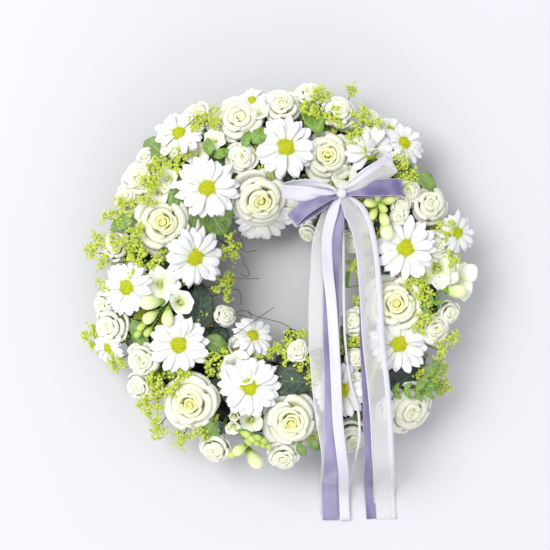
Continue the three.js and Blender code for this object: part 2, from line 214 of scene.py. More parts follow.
def plant_material(name, light, dark, grain, roughness):
    """Green stem, calyx, floret or disc: a noise between two tones, with a fine raised grain."""
    material, tree = new_material(name)
    spot = add_node(tree, "TexCoord", output="Object")
    noise = add_node(tree, "TexNoise", {"Vector": spot, "Scale": 1 / (grain * MM)})
    base = add_node(tree, "ValToRGB", {"Fac": noise}, stops=[(0.35, dark), (0.65, light)])
    fine = add_node(tree, "TexNoise", {"Vector": spot, "Scale": 2.5 / (grain * MM)})
    bump = add_node(tree, "Bump", {"Strength": 0.4, "Distance": 0.3 * MM, "Height": fine})
    skin = add_node(
        tree, "BsdfPrincipled",
        {
            "Base Color": base, "Normal": bump, "Roughness": roughness, "IOR": 1.4,
            "Subsurface Weight": 0.2, "Subsurface Scale": 2 * MM,
        },
    )
    add_node(tree, "OutputMaterial", {"Surface": skin})
    return material


def leaf_material(name, blade, dark, vein, side_veins, roughness):
    """A leaf blade: a waxy cuticle over darker and lighter cells, with paler raised veins."""
    material, tree, along, across = new_material(name, "along", "across")
    spot = add_node(tree, "TexCoord", output="Object")
    cells = add_node(tree, "TexNoise", {"Vector": spot, "Scale": 1 / (7 * MM), "Detail": 4.0})
    base = add_node(tree, "ValToRGB", {"Fac": cells}, stops=[(0.3, dark), (0.7, blade)])
    out = add_node(tree, "Math", [across], operation="ABSOLUTE")
    slant = add_node(tree, "Math", [out, -0.22, along], operation="MULTIPLY_ADD")
    turns = add_node(tree, "Math", [slant, side_veins * 2 * math.pi], operation="MULTIPLY")
    wave = add_node(tree, "Math", [turns], operation="SINE")
    wave = add_node(tree, "Math", [wave, 0.0], operation="MAXIMUM")
    side = add_node(tree, "Math", [wave, 14.0], operation="POWER")
    middle = add_node(tree, "Math", [out, -12.0, 1.0], operation="MULTIPLY_ADD")
    lines = add_node(tree, "Math", [side, middle], operation="MAXIMUM")
    share = add_node(tree, "Math", [lines, 0.55], operation="MULTIPLY", use_clamp=True)
    base = add_node(tree, "Mix", {0: share, 6: base, 7: vein}, output=2, data_type="RGBA")
    pucker = add_node(tree, "TexNoise", {"Vector": spot, "Scale": 1 / (3 * MM)})
    relief = add_node(tree, "Math", [pucker, share], operation="SUBTRACT")
    bump = add_node(tree, "Bump", {"Strength": 0.6, "Distance": 0.6 * MM, "Height": relief})
    skin = add_node(
        tree, "BsdfPrincipled",
        {
            "Base Color": base, "Normal": bump, "Roughness": roughness, "IOR": 1.45,
            "Subsurface Weight": 0.12, "Subsurface Scale": 1 * MM,
            "Coat Weight": 0.15, "Coat Roughness": 0.35,
        },
    )
    add_node(tree, "OutputMaterial", {"Surface": skin})
    return material


def satin_material(name, face, back):
    """Woven polyester satin: long floats along the ribbon give its face a soft sheen.

    Painted sheen and shade run lighter and darker along the ribbon, between the lit face's colour
    and a darker painted shade colour, and its tone adds more painted shade. The thread lines are
    drawn about 0.6 mm apart on a 20 mm ribbon, coarser than the real 0.1 mm, so they show.
    """
    material, tree, along, across, tone = new_material(name, *MEASURES)
    # Painted sheen and shade: a slow noise along the ribbon, plus its tone, moves its colour from the
    # lit face towards the painted shade colour.
    turns = add_node(tree, "Math", [along, 8.0], operation="MULTIPLY")
    lanes = add_node(tree, "Math", [across, 0.5], operation="MULTIPLY")
    spot = add_node(tree, "CombineXYZ", {"X": turns, "Y": lanes, "Z": tone})
    painted_sheen_and_shade = add_node(tree, "TexNoise", {"Vector": spot, "Scale": 1.0, "Detail": 1.0})
    painted_sheen_and_shade = add_node(tree, "Math", [painted_sheen_and_shade, 1.4, -0.7], operation="MULTIPLY_ADD")
    share = add_node(tree, "Math", [painted_sheen_and_shade, tone], operation="ADD", use_clamp=True)
    base = add_node(tree, "Mix", {0: share, 6: face, 7: back}, output=2, data_type="RGBA")
    # Painted highlight: the outermost strips of both edges are lightened about a third of the way to
    # white.
    out = add_node(tree, "Math", [across], operation="ABSOLUTE")
    painted_edge_highlight = add_node(tree, "Math", [out, 0.92], operation="GREATER_THAN")
    share = add_node(tree, "Math", [painted_edge_highlight, 0.35], operation="MULTIPLY")
    base = add_node(tree, "Mix", {0: share, 6: base, 7: "#ffffff"}, output=2, data_type="RGBA")
    turns = add_node(tree, "Math", [across, 32 * math.pi], operation="MULTIPLY")
    thread = add_node(tree, "Math", [turns], operation="SINE")
    bump = add_node(tree, "Bump", {"Strength": 0.2, "Distance": 0.1 * MM, "Height": thread})
    cloth = add_node(
        tree, "BsdfPrincipled",
        {
            "Base Color": base, "Normal": bump, "Roughness": 0.45, "IOR": 1.45,
            "Sheen Weight": 0.5, "Sheen Roughness": 0.3, "Anisotropic": 0.5,
        },
    )
    add_node(tree, "OutputMaterial", {"Surface": cloth})
    return material


def organza_material(name, cover):
    """Sheer organza: fine stiff yarns with gaps, so what lies behind shows through.

    One edge is a woven satin band, the other a narrow one, and both are opaque. The yarns are
    drawn 0.8 to 1 mm apart, coarser than the real 0.2 mm, so they show.
    """
    material, tree, along, across = new_material(name, "along", "across")
    band = add_node(tree, "Math", [across, 0.52], operation="GREATER_THAN")
    rim = add_node(tree, "Math", [across, -0.9], operation="LESS_THAN")
    edge = add_node(tree, "Math", [band, rim], operation="MAXIMUM")
    weft = add_node(tree, "Math", [along, 900 * math.pi], operation="MULTIPLY")
    weft = add_node(tree, "Math", [weft], operation="SINE")
    warp = add_node(tree, "Math", [across, 32 * math.pi], operation="MULTIPLY")
    warp = add_node(tree, "Math", [warp], operation="SINE")
    weave = add_node(tree, "Math", [weft, warp], operation="ADD")
    sheer = add_node(tree, "Math", [weave, 0.04, cover], operation="MULTIPLY_ADD")
    alpha = add_node(tree, "Math", [sheer, edge], operation="MAXIMUM")
    base = add_node(tree, "Mix", {0: edge, 6: "#f3f4f2", 7: "#d3d2db"}, output=2, data_type="RGBA")
    cloth = add_node(
        tree, "BsdfPrincipled",
        {"Base Color": base, "Roughness": 0.45, "IOR": 1.5, "Sheen Weight": 0.3},
    )
    clear = add_node(tree, "BsdfTransparent")
    sheet = add_node(tree, "MixShader", [alpha, clear, cloth])
    add_node(tree, "OutputMaterial", {"Surface": sheet})
    return material


def hard_material(name, light, dark, grain, roughness, relief):
    """Foam, moulded plastic or wood: two close tones with a raised grain."""
    material, tree = new_material(name)
    spot = add_node(tree, "TexCoord", output="Object")
    noise = add_node(tree, "TexNoise", {"Vector": spot, "Scale": 1 / (grain * MM), "Detail": 3.0})
    base = add_node(tree, "ValToRGB", {"Fac": noise}, stops=[(0.3, dark), (0.7, light)])
    bump = add_node(tree, "Bump", {"Strength": 0.6, "Distance": relief * MM, "Height": noise})
    skin = add_node(
        tree, "BsdfPrincipled",
        {"Base Color": base, "Normal": bump, "Roughness": roughness, "IOR": 1.46},
    )
    add_node(tree, "OutputMaterial", {"Surface": skin})
    return material


MATERIALS = {}


def make_materials():
    """Every material of the wreath."""
    MATERIALS.update(
        # name, stops from outside to heart, foot's colour, veins, roughness, glow
        rose=petal_material(
            "cream_rose_petal",
            [(0.0, "#f5f4e6"), (0.3, "#f6f5dc"), (0.65, "#f7f5c4"), (1.0, "#f2ec92")],
            "#eaed9c", 12, 0.55, 0.3,
        ),
        daisy=petal_material(
            "white_daisy_petal", [(0.0, "#ededf1"), (1.0, "#f4f4f7")], "#dde4c4", 6, 0.5, 0.12,
        ),
        freesia=petal_material(
            "white_freesia_petal", [(0.0, "#fbfbf7"), (0.6, "#f6f8e4"), (1.0, "#e4ea98")],
            "#dbe380", 8, 0.45, 0.12,
        ),
        bud=petal_material(
            "green_bud_skin", [(0.0, "#f1f4c8"), (0.5, "#e2ea9e"), (1.0, "#bfd36c")],
            "#a3c04a", 5, 0.45, 0.15,
        ),
        # name, light and dark tone, grain, roughness
        disc=plant_material("daisy_disc_florets", "#c8cc18", "#a8ae0a", 2.0, 0.7),
        mantle=plant_material("ladys_mantle_florets", "#d8e26e", "#bbcb40", 6.0, 0.7),
        stem=plant_material("green_stem_skin", "#8fb04a", "#5f8635", 5.0, 0.5),
        twig=plant_material("dark_twig_bark", "#5d5c52", "#35362e", 3.0, 0.8),
        # name, blade, its dark cells, its veins, how many side veins, roughness
        bright_leaf=leaf_material("bright_leaf_blade", "#84a54c", "#557a38", "#bccb8c", 9, 0.45),
        sprig_leaf=leaf_material("sprig_leaf_blade", "#84a83e", "#557f28", "#b4cc74", 3, 0.4),
        deep_leaf=leaf_material("rolled_leaf_blade", "#33473d", "#1b2724", "#4d6355", 12, 0.45),
        dark_leaf=leaf_material("ivy_leaf_blade", "#475c46", "#2b3a31", "#6f846c", 7, 0.42),
        # name, lit face, painted shade colour
        lavender=satin_material("lavender_satin_weave", "#a8a1c0", "#665c86"),
        white_satin=satin_material("white_satin_weave", "#dad8e1", "#bcb9cb"),
        # name, share that the yarns cover
        organza=organza_material("white_organza_weave", 0.31),
        # name, light and dark tone, grain, roughness, relief
        # The foam's near-black tones are painted shade, standing for the deep shade in the gaps
        # between the heads.
        foam=hard_material("wet_phenolic_foam", "#1d2426", "#111218", 1.2, 0.85, 0.5),
        tray=hard_material("moulded_polypropylene", "#1b1a24", "#121118", 2.0, 0.4, 0.1),
        wood=hard_material("split_birch_pick", "#c4a878", "#9d7d4e", 1.5, 0.7, 0.2),
    )


# ---------------------------------------------------------------- mesh helpers
def start_mesh():
    """An empty bmesh with the three measures that the materials read."""
    mesh = bmesh.new()
    for name in MEASURES:
        mesh.verts.layers.float.new(name)
    return mesh


def mark(mesh, verts, along=None, across=None, tone=0.0):
    """Writes the measures on new vertices."""
    layers = mesh.verts.layers.float
    for i, vert in enumerate(verts):
        vert[layers["along"]] = along[i] if along else 0.5
        vert[layers["across"]] = across[i] if across else 0.0
        vert[layers["tone"]] = tone


def add_blade(mesh, columns, rows, shape, matrix, tone=0.0, material=0, band_side=1):
    """A grid moved onto shape(across, along): across runs -1 to 1, along runs 0 to 1.

    The band side turns the across measure round, which puts an organza's band on that edge.
    """
    made = bmesh.ops.create_grid(mesh, x_segments=columns, y_segments=rows, size=1)
    verts = made["verts"]
    across = [v.co.x for v in verts]
    along = [(v.co.y + 1) / 2 for v in verts]
    for vert, a, t in zip(verts, across, along):
        vert.co = matrix @ Vector(shape(a, t))
    mark(mesh, verts, along, [band_side * a for a in across], tone)
    for face in {f for v in verts for f in v.link_faces}:
        face.material_index = material
        face.smooth = True
    return verts


def thicken(mesh, thickness_mm):
    """Gives every sheet in the mesh so far a thickness, so that each is a closed shell."""
    bmesh.ops.solidify(mesh, geom=mesh.faces[:], thickness=thickness_mm * MM)


def add_solid(mesh, verts, material, tone=0.0, smooth=True):
    """Marks the points and faces of a closed shape made by an operator."""
    mark(mesh, verts, tone=tone)
    for face in {f for v in verts for f in v.link_faces}:
        face.material_index = material
        face.smooth = smooth


def add_rod(mesh, start, end, radius_start, radius_end, sides, material):
    """A closed tapered rod between two points of the frame, in metres."""
    axis = end - start
    turn = axis.to_track_quat("Z", "Y").to_matrix().to_4x4()
    matrix = Matrix.Translation((start + end) / 2) @ turn
    made = bmesh.ops.create_cone(
        mesh, cap_ends=True, cap_tris=False, segments=sides, radius1=radius_start,
        radius2=radius_end, depth=axis.length, matrix=matrix,
    )
    add_solid(mesh, made["verts"], material)


def add_ball(mesh, matrix, segments, rings, material, tone=0.0):
    """A ball, 1 in radius before its matrix, and its vertices."""
    made = bmesh.ops.create_uvsphere(
        mesh, u_segments=segments, v_segments=rings, radius=1, matrix=matrix,
    )
    add_solid(mesh, made["verts"], material, tone)
    return made["verts"]


def add_egg(mesh, matrix, middle, half_size, material):
    """A coarse ball stretched to three half sizes, for cups under the heads."""
    egg = Matrix.Translation(middle) @ Matrix.Diagonal((*half_size, 1))
    add_ball(mesh, matrix @ egg, 8, 6, material)


def merge(mesh, part):
    """Adds a small bmesh to a larger one, which is quicker than making each shape in the larger."""
    data = bpy.data.meshes.new("part")
    part.to_mesh(data)
    part.free()
    mesh.from_mesh(data)
    bpy.data.meshes.remove(data)


def add_piece(mesh, name, materials):
    """Makes a piece of a bmesh, riding on the wreath, and standing for the solid of its name."""
    stands_for_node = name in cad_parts
    full_name = name + "_finished" if stands_for_node else name
    data = bpy.data.meshes.new(full_name)
    mesh.to_mesh(data)
    mesh.free()
    for key in materials:
        data.materials.append(MATERIALS[key])
    piece = bpy.data.objects.new(full_name, data)
    bpy.context.scene.collection.objects.link(piece)
    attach(piece, "root")
    if stands_for_node:
        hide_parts(name)
    return piece


CURVE_STEPS = 24


def smooth_route(points, spacing=4.0):
    """Evenly spaced points on a centripetal Catmull-Rom curve, about spacing apart, and its length."""
    points = [Vector(p) for p in points]
    points = [points[0] * 2 - points[1]] + points + [points[-1] * 2 - points[-2]]
    dense = []
    for p0, p1, p2, p3 in zip(points, points[1:], points[2:], points[3:]):
        t1 = (p1 - p0).length ** 0.5
        t2 = t1 + (p2 - p1).length ** 0.5
        t3 = t2 + (p3 - p2).length ** 0.5
        for step in range(CURVE_STEPS):
            t = blend(t1, t2, step / CURVE_STEPS)
            a1 = p0.lerp(p1, t / t1)
            a2 = p1.lerp(p2, (t - t1) / (t2 - t1))
            a3 = p2.lerp(p3, (t - t2) / (t3 - t2))
            b1 = a1.lerp(a2, t / t2)
            b2 = a2.lerp(a3, (t - t1) / (t3 - t1))
            dense.append(b1.lerp(b2, (t - t1) / (t2 - t1)))
    dense.append(points[-2])
    lengths = [0.0]
    for a, b in zip(dense, dense[1:]):
        lengths.append(lengths[-1] + (b - a).length)
    count = max(2, round(lengths[-1] / spacing))
    route = []
    at = 0
    for step in range(count + 1):
        want = lengths[-1] * step / count
        while at < len(dense) - 2 and lengths[at + 1] < want:
            at += 1
        span = lengths[at + 1] - lengths[at]
        route.append(dense[at].lerp(dense[at + 1], clamp((want - lengths[at]) / span)))
    return route, lengths[-1]


def along_list(values, share):
    """The value at a share of a list of evenly spaced values."""
    position = clamp(share) * (len(values) - 1)
    low = min(int(position), len(values) - 2)
    return blend(values[low], values[low + 1], position - low)


# ---------------------------------------------------------------- the flowers' places
# x, y, head's width, lift above the bed
LARGE_ROSES = [
    (-21, 84, 72, 4), (-135, 62, 78, 2), (55, 139, 60, 0),
    (-104, -148, 71, 4), (13, -170, 67, 0), (133, -32, 73, 4),
]
DAISIES = [
    (-83, 101, 76, 5), (-97, 21, 73, 4), (-116, -79, 71, 4),
    (7, 148, 76, 2), (104, 143, 67, 2), (144, 32, 74, 2),
    (137, -78, 72, -8), (-176, -13, 65, 0), (-117, 165, 62, 0),
    (-35, -127, 74, 0), (-31, -69, 54, -6), (71, -132, 70, -9),
    (144, 154, 54, -4), (205, 50, 52, -2), (-200, -84, 44, -14),
    (128, 169, 44, -10), (-32, 204, 38, -12),
]
INNER_DAISIES = [(-20, 67, 74, -17), (20, 76, 54, -16)]
# Petals of a head that are folded up over its disc: the fan's compass and half width, and how far
# up its middle and its sides are turned, in degrees.
FOLDED = {"daisy_5": (-75, 35)}
FOLD_ANGLES = (148, 78)

# Layers of a rose from the outside in: petals, crest's radius and height, lip's radius, belly's
# radius and height and the foot's height as shares of the head's radius, and half the arc that
# a petal spans, in degrees.
OPEN = [
    (5, 0.83, -0.46, 1.00, 0.56, -0.54, -1.00, 48),
    (4, 0.64, -0.27, 0.86, 0.52, -0.44, -0.85, 58),
    (3, 0.46, -0.12, 0.67, 0.42, -0.28, -0.62, 76),
    (3, 0.34, -0.04, 0.46, 0.31, -0.20, -0.46, 72),
    (3, 0.24, -0.03, 0.32, 0.22, -0.15, -0.36, 74),
    (3, 0.15, -0.04, 0.22, 0.14, -0.14, -0.28, 78),
    (2, 0.07, -0.06, 0.12, 0.07, -0.13, -0.24, 95),
]
SPREAD = [
    (5, 0.82, -0.46, 1.00, 0.56, -0.60, -1.00, 48),
    (4, 0.61, -0.26, 0.85, 0.52, -0.44, -0.85, 58),
    (3, 0.42, -0.11, 0.64, 0.38, -0.28, -0.62, 76),
    (3, 0.27, -0.04, 0.43, 0.24, -0.17, -0.42, 78),
    (2, 0.12, -0.05, 0.26, 0.11, -0.15, -0.28, 95),
]
CLOSED = [
    (4, 0.78, -0.46, 0.97, 1.00, -0.84, -1.00, 60),
    (4, 0.56, -0.24, 0.83, 0.72, -0.52, -0.85, 62),
    (3, 0.35, -0.09, 0.60, 0.40, -0.26, -0.60, 76),
    (3, 0.19, -0.03, 0.38, 0.20, -0.16, -0.36, 80),
    (2, 0.07, -0.05, 0.21, 0.07, -0.14, -0.26, 98),
]
# x, y, head's width, lift, layers
SMALL_ROSES = [
    (2, 201, 46, 0, SPREAD), (-47, 185, 60, 0, SPREAD), (-44, 136, 38, 2, SPREAD),
    (-160, -98, 42, 2, SPREAD), (-199, -60, 46, -2, CLOSED), (-193, 36, 39, -4, CLOSED),
    (-163, 115, 50, -2, SPREAD), (-98, 191, 40, -8, CLOSED), (69, 193, 41, 2, CLOSED),
    (175, 84, 50, 2, CLOSED), (181, -62, 39, 0, SPREAD), (-77, -205, 43, -8, CLOSED),
    (4, -214, 39, -8, SPREAD), (154, -160, 70, -6, CLOSED), (84, -192, 45, -8, CLOSED),
    (-61, -44, 30, -4, CLOSED), (20, -83, 27, 2, SPREAD), (-166, -130, 34, -2, CLOSED),
    (-207, -33, 30, -4, CLOSED), (35, 214, 42, -4, CLOSED), (107, 184, 30, -4, CLOSED),
    (148, 98, 37, 4, SPREAD), (183, 36, 36, -2, SPREAD), (198, -43, 30, -4, CLOSED),
    (31, 46, 27, -8, CLOSED), (84, -51, 34, -6, CLOSED), (87, -94, 26, -6, CLOSED),
    (90, 62, 30, -6, CLOSED), (127, -158, 34, -8, CLOSED), (80, 38, 30, -10, CLOSED),
    (139, 81, 25, 8, CLOSED), (136, 69, 23, 8, SPREAD), (-181, 93, 33, -8, CLOSED),
    (-157, 139, 28, -4, CLOSED),
]
# Where along a petal its lip starts to turn out.
LIP_START = 0.72
ROSE_THICKNESS = 0.25
ROSE_STEM = 2.2
SEPALS = 5


def rose_petal(radius, layer, rng):
    """The shape of one rose petal about its head's axis, facing +X: a cupped face and a lip."""
    _, crest, top, lip, belly, belly_height, foot, span = layer
    round_off = 0.12 + 0.22 * crest
    stretch = rng.uniform(0.9, 1.05) * radius
    crest, lip, belly = crest * stretch, lip * stretch, belly * stretch
    top = (top + rng.uniform(-0.03, 0.03)) * radius
    belly_height, foot = belly_height * radius, foot * radius
    roll = (lip - crest) * rng.uniform(0.8, 1.2)
    drop = roll * rng.uniform(0.3, 0.75)
    half = math.radians(span)
    skew = rng.uniform(0.07, 0.14)
    wave = rng.uniform(0.3, 1.0) * 0.035 * crest
    phase = rng.uniform(0, 2 * math.pi)
    point = rng.uniform(0.0, 0.08)

    def shape(a, t):
        side = abs(a)
        u = t * (1 - round_off * side ** 4)
        rise = clamp(u / LIP_START)
        rho = bezier(0.1 * radius, belly, crest, rise)
        z = bezier(foot, belly_height, top, rise)
        turned = 0.5 * math.pi * clamp((u - LIP_START) / (1 - LIP_START))
        rho += roll * math.sin(turned)
        z += 0.25 * roll * math.sin(2 * turned) - drop * (1 - math.cos(turned))
        z += wave * math.sin(2.5 * a + phase) * rise ** 3
        rho += 0.6 * wave * math.sin(4 * a + 2 * phase) * rise ** 4
        rho *= 1 + skew * a + point * (1 - side) * rise ** 3 - 0.04 * side ** 2
        angle = half * a * (0.5 + 0.5 * clamp(u * 1.8))
        return rho * math.cos(angle), rho * math.sin(angle), z

    return shape


def make_rose(name, x, y, width, lift, layers, grid, warmth):
    """A rose head on its calyx and stem."""
    rng = random.Random(name)
    mesh = start_mesh()
    matrix = seat(x, y, lift, rng.uniform(0, 2 * math.pi))
    radius = width / 2
    turn = 0.0
    for index, layer in enumerate(layers):
        count = layer[0]
        tone = warmth * index / (len(layers) - 1)
        aside = Vector((rng.gauss(0, 0.02), rng.gauss(0, 0.02), 0)) * radius
        shift = Matrix.Translation(aside)
        for i in range(count):
            angle = turn + 2 * math.pi * i / count + rng.uniform(-0.15, 0.15)
            pose = matrix @ shift @ Matrix.Rotation(angle, 4, "Z")
            add_blade(mesh, *grid, rose_petal(radius, layer, rng), pose, tone)
        turn += math.pi / count + 0.3
    thicken(mesh, ROSE_THICKNESS)
    heart = Matrix.Translation((0, 0, -0.15 * radius)) @ Matrix.Scale(0.1 * radius, 4)
    add_ball(mesh, matrix @ heart, 8, 6, 0, warmth)
    add_calyx(mesh, matrix, radius, 1)
    add_stem(mesh, matrix, x, y, -1.05 * radius, ROSE_STEM, 1)
    return add_piece(mesh, name, ["rose", "stem"])


def add_calyx(mesh, matrix, radius, material):
    """The green cup under a rose, with sepals that hug it."""
    add_egg(mesh, matrix, (0, 0, -radius), (0.2 * radius, 0.2 * radius, 0.22 * radius), material)

    def sepal(a, t):
        wide = 0.16 * radius * (1 - t) ** 0.7
        reach = (0.14 + 0.62 * t ** 1.3) * radius
        return reach, a * wide, -radius + (0.05 + 0.32 * t) * radius - 0.8

    for i in range(SEPALS):
        spin = Matrix.Rotation(2 * math.pi * i / SEPALS, 4, "Z")
        blade = add_blade(mesh, 2, 4, sepal, matrix @ spin, 0.0, material)
        faces = list({f for v in blade for f in v.link_faces})
        bmesh.ops.solidify(mesh, geom=faces, thickness=0.5 * MM)


def add_stem(mesh, matrix, x, y, depth, radius, material):
    """The stem from under the head to its foot in the foam."""
    neck = matrix @ Vector((0, 0, depth))
    foot = stem_foot(matrix.translation, x, y)
    add_rod(mesh, neck, foot, radius * MM, radius * MM, 6, material)


# ---------------------------------------------------------------- daisies
DAISY_THICKNESS = 0.4
DAISY_STEM = 1.6
DISC_SHARE = 11.2 / 74
DISC_FLORETS = 120
# The turn in radians from one floret to the next that packs a disc most evenly.
GOLDEN_TURN = 2.39996


def tip_taper(t, start, tip, power):
    """A petal's width at t as a share of its full width: full up to start, then rounded to a tip."""
    past = clamp((t - start) / (1 - start))
    return tip + (1 - tip) * (1 - past ** power)


def daisy_petal(radius, length, half_width, lift, droop, rng):
    """The shape of one daisy petal, pointing along +X from under the disc."""
    start = 0.16 * radius
    skew = rng.uniform(-0.08, 0.08)
    groove = rng.uniform(0.2, 0.45)
    roll = rng.uniform(-0.15, 0.15)
    notch = rng.uniform(-0.05, 0.05)
    taper = rng.uniform(1.6, 3.2)

    def shape(a, t):
        wide = half_width * (0.42 + 0.58 * clamp(t * 1.5) ** 0.8) * tip_taper(t, 0.62, 0.14, taper)
        reach = start + (length - start) * t * (1 - notch * (1 - abs(a)) * (t > 0.9))
        rise = lift * math.sin(math.pi * min(1.0, t * 0.95)) - droop * t ** 2.2
        channel = groove * math.cos(2 * math.pi * a) * (0.3 + 0.7 * t)
        sideways = a * wide + skew * reach * t
        return reach, sideways, rise + channel + roll * sideways

    return shape


def add_disc(mesh, matrix, radius, rng, material):
    """The eye of a daisy: a low dome of tiny florets set in a spiral."""
    part = start_mesh()
    height = 0.30 * radius
    low = -0.12 * radius
    dome = Matrix.Translation((0, 0, low))
    dome = dome @ Matrix.Diagonal((0.96 * radius, 0.96 * radius, height, 1))
    add_ball(part, matrix @ dome, 14, 8, material)
    for i in range(DISC_FLORETS):
        share = (i + 0.5) / DISC_FLORETS
        rho = radius * math.sqrt(share) * 0.99
        angle = i * GOLDEN_TURN
        z = low + height * math.sqrt(1 - share * 0.92)
        size = blend(0.6, 0.9, share) * radius / 11 * rng.uniform(0.9, 1.15)
        tilt = Matrix.Rotation(angle, 4, "Z") @ Matrix.Rotation(0.9 * share, 4, "Y")
        at = Matrix.Translation((rho * math.cos(angle), rho * math.sin(angle), z))
        made = bmesh.ops.create_cone(
            part, cap_ends=True, cap_tris=False, segments=5, radius1=size * 0.9,
            radius2=size * 0.35, depth=1.7 * size, matrix=matrix @ at @ tilt,
        )
        add_solid(part, made["verts"], material, smooth=False)
    merge(mesh, part)


def make_daisy(name, x, y, width, lift, petals):
    """A daisy head: two rows of broad petals round a disc, with a stem."""
    rng = random.Random(name)
    mesh = start_mesh()
    matrix = seat(x, y, lift, rng.uniform(0, 2 * math.pi))
    radius = width / 2
    spin_of_head = matrix.to_quaternion()
    fold_compass, fold_half = FOLDED.get(name, (0, 0))
    # Petals, reach and half width as shares of the radius, height, lift, offset in petals.
    lower = (petals, 1.0, 2.8 / petals, -2.6, 1.2, 0.0)
    upper = (petals - 2, 0.92, 2.6 / petals, -1.0, 1.8, 0.5)
    for count, reach, wide, base, rise, shift in (lower, upper):
        for i in range(count):
            angle = 2 * math.pi * (i + shift) / count + rng.uniform(-0.11, 0.11)
            length = radius * reach * rng.uniform(0.86, 1.05)
            half_width = radius * wide * rng.uniform(0.85, 1.15)
            petal = daisy_petal(radius, length, half_width, rise, rng.uniform(0.0, 4.0), rng)
            pose = Matrix.Rotation(angle, 4, "Z") @ Matrix.Translation((0, 0, base))
            ahead = spin_of_head @ heading(angle)
            compass = math.degrees(math.atan2(ahead.y, ahead.x))
            off = abs((compass - fold_compass + 180) % 360 - 180)
            if fold_half and off < fold_half:
                up = math.radians(blend(*FOLD_ANGLES, off / fold_half))
                pivot = Matrix.Translation((0.2 * radius, 0, 0))
                pose = pose @ pivot @ Matrix.Rotation(-up, 4, "Y") @ pivot.inverted()
            else:
                pose = pose @ Matrix.Rotation(rng.uniform(-0.12, 0.10), 4, "Y")
            add_blade(mesh, 4, 9, petal, matrix @ pose, rng.random())
    thicken(mesh, DAISY_THICKNESS)
    add_disc(mesh, matrix, DISC_SHARE * width, rng, 1)
    add_egg(mesh, matrix, (0, 0, -4), (7, 7, 3.2), 2)
    add_stem(mesh, matrix, x, y, -4, DAISY_STEM, 2)
    return add_piece(mesh, name, ["daisy", "disc", "stem"])


# ---------------------------------------------------------------- freesias and buds
# Each spray: the point that its buds spread from, then each flower's x, y, width, lift and how
# far it is open, 0 to 1, root first.
FREESIAS = {
    "freesia_1": ((-127, -28), [
        (-137, -10, 44, 3, 1.0), (-112, -30, 35, 6, 0.7), (-147, -31, 26, 6, 0.0),
        (-148, -47, 21, 4, 0.0), (-128, -47, 22, 6, 0.0), (-158, -58, 13, 4, 0.0),
        (-151, -64, 13, 4, 0.0), (-162, -66, 12, 3, 0.0)]),
    "freesia_2": ((184, -17), [
        (186, 8, 52, -1, 1.0), (213, -6, 48, -6, 0.9), (202, -17, 25, 3, 0.0)]),
    "freesia_3": ((-56, -90), [(-47, -105, 48, 4, 0.8), (-44, -80, 38, 1, 0.6)]),
    "freesia_4": ((-140, 106), [(-131, 113, 32, 0, 0.95), (-139, 95, 28, 0, 0.9)]),
    "freesia_5": ((-88, 150), [(-97, 142, 34, 0, 0.95), (-76, 158, 28, 0, 0.9)]),
    "freesia_6": ((-24, 200), [(-24, 192, 28, 0, 0.7)]),
    "freesia_buds_1": ((113, 82), [
        (122, 53, 25, 6, 0.0), (119, 66, 19, 10, 0.0), (107, 71, 16, 9, 0.0),
        (117, 78, 14, 12, 0.0), (104, 83, 18, 9, 0.0), (112, 90, 17, 8, 0.0),
        (123, 87, 18, 9, 0.0), (129, 90, 15, 7, 0.0)]),
    "freesia_buds_2": ((-40, -196), [
        (-30, -211, 27, -8, 0.0), (-46, -200, 19, -2, 0.0), (-54, -206, 13, -4, 0.0)]),
    "freesia_buds_3": ((-50, -162), [
        (-54, -176, 24, 3, 0.5), (-53, -162, 18, 4, 0.3), (-33, -167, 34, -2, 0.7)]),
    "freesia_buds_4": ((75, 100), [(75, 113, 34, -4, 0.9)]),
    "freesia_buds_5": ((-52, -178), [
        (-40, -181, 14, 2, 0.0), (-34, -186, 14, 2, 0.0), (-37, -190, 12, 1, 0.0),
        (-27, -185, 12, 1, 0.0), (-28, -191, 12, 0, 0.0), (-20, -189, 11, 0, 0.0),
        (-21, -194, 10, -1, 0.0), (-14, -196, 10, -2, 0.0)]),
}
# Buds this wide have the palest skin, and buds this wide the greenest.
PALE_BUD = 24
GREEN_BUD = 12
FREESIA_PETALS = 6
FREESIA_THICKNESS = 0.4


def funnel_depth(radius, openness):
    """How deep a freesia's funnel is: a long tube when closed, a shallow one when open."""
    return blend(2.3, 1.3, openness) * radius


def freesia_petal(radius, openness, rng):
    """The shape of one of a freesia's petals: a funnel that flares as it opens."""
    flare = blend(0.28, 1.0, openness) * rng.uniform(0.9, 1.08)
    depth = funnel_depth(radius, openness)
    skew = rng.uniform(-0.15, 0.15)

    def shape(a, t):
        wide = 0.5 * radius * (0.3 + 0.7 * clamp(t * 1.6)) * tip_taper(t, 0.55, 0.12, 2.6)
        belly = math.sin(math.pi * clamp(t)) * blend(0.22, 0.05, openness)
        rho = radius * (0.08 + flare * t ** blend(1.0, 2.0, openness) + belly)
        z = depth * (t ** blend(1.0, 0.62, openness) - 1)
        z -= 0.5 * radius * openness * clamp(t - 0.7)
        return rho, a * wide + skew * rho * t, z + 0.3 * a * a * wide

    return shape


def add_bud(mesh, x, y, width, lift, hub):
    """A plump bud that lies along the way from the hub, and the point of its foot."""
    compass = math.degrees(math.atan2(y - hub[1], x - hub[0]))
    matrix = aim(x, y, lift, compass, -0.35)
    radius = width / 2
    verts = add_ball(mesh, Matrix.Identity(4), 12, 10, 1)
    turn = Matrix.Rotation(math.pi / 2, 4, "Y")
    along = []
    for vert in verts:
        reach, side, up = turn @ vert.co
        along.append((reach + 1) / 2)
        slim = 0.74 * (0.82 + 0.22 * reach) * (1 - 0.12 * math.cos(3 * math.atan2(up, side)))
        vert.co = matrix @ (Vector((reach, side * slim, up * slim)) * radius)
    mark(mesh, verts, along, tone=clamp((PALE_BUD - width) / (PALE_BUD - GREEN_BUD)))
    calyx = (0.4 * radius, 0.36 * radius, 0.36 * radius)
    add_egg(mesh, matrix, (-0.85 * radius, 0, 0), calyx, 2)
    return matrix @ Vector((-1.1 * radius, 0, 0))


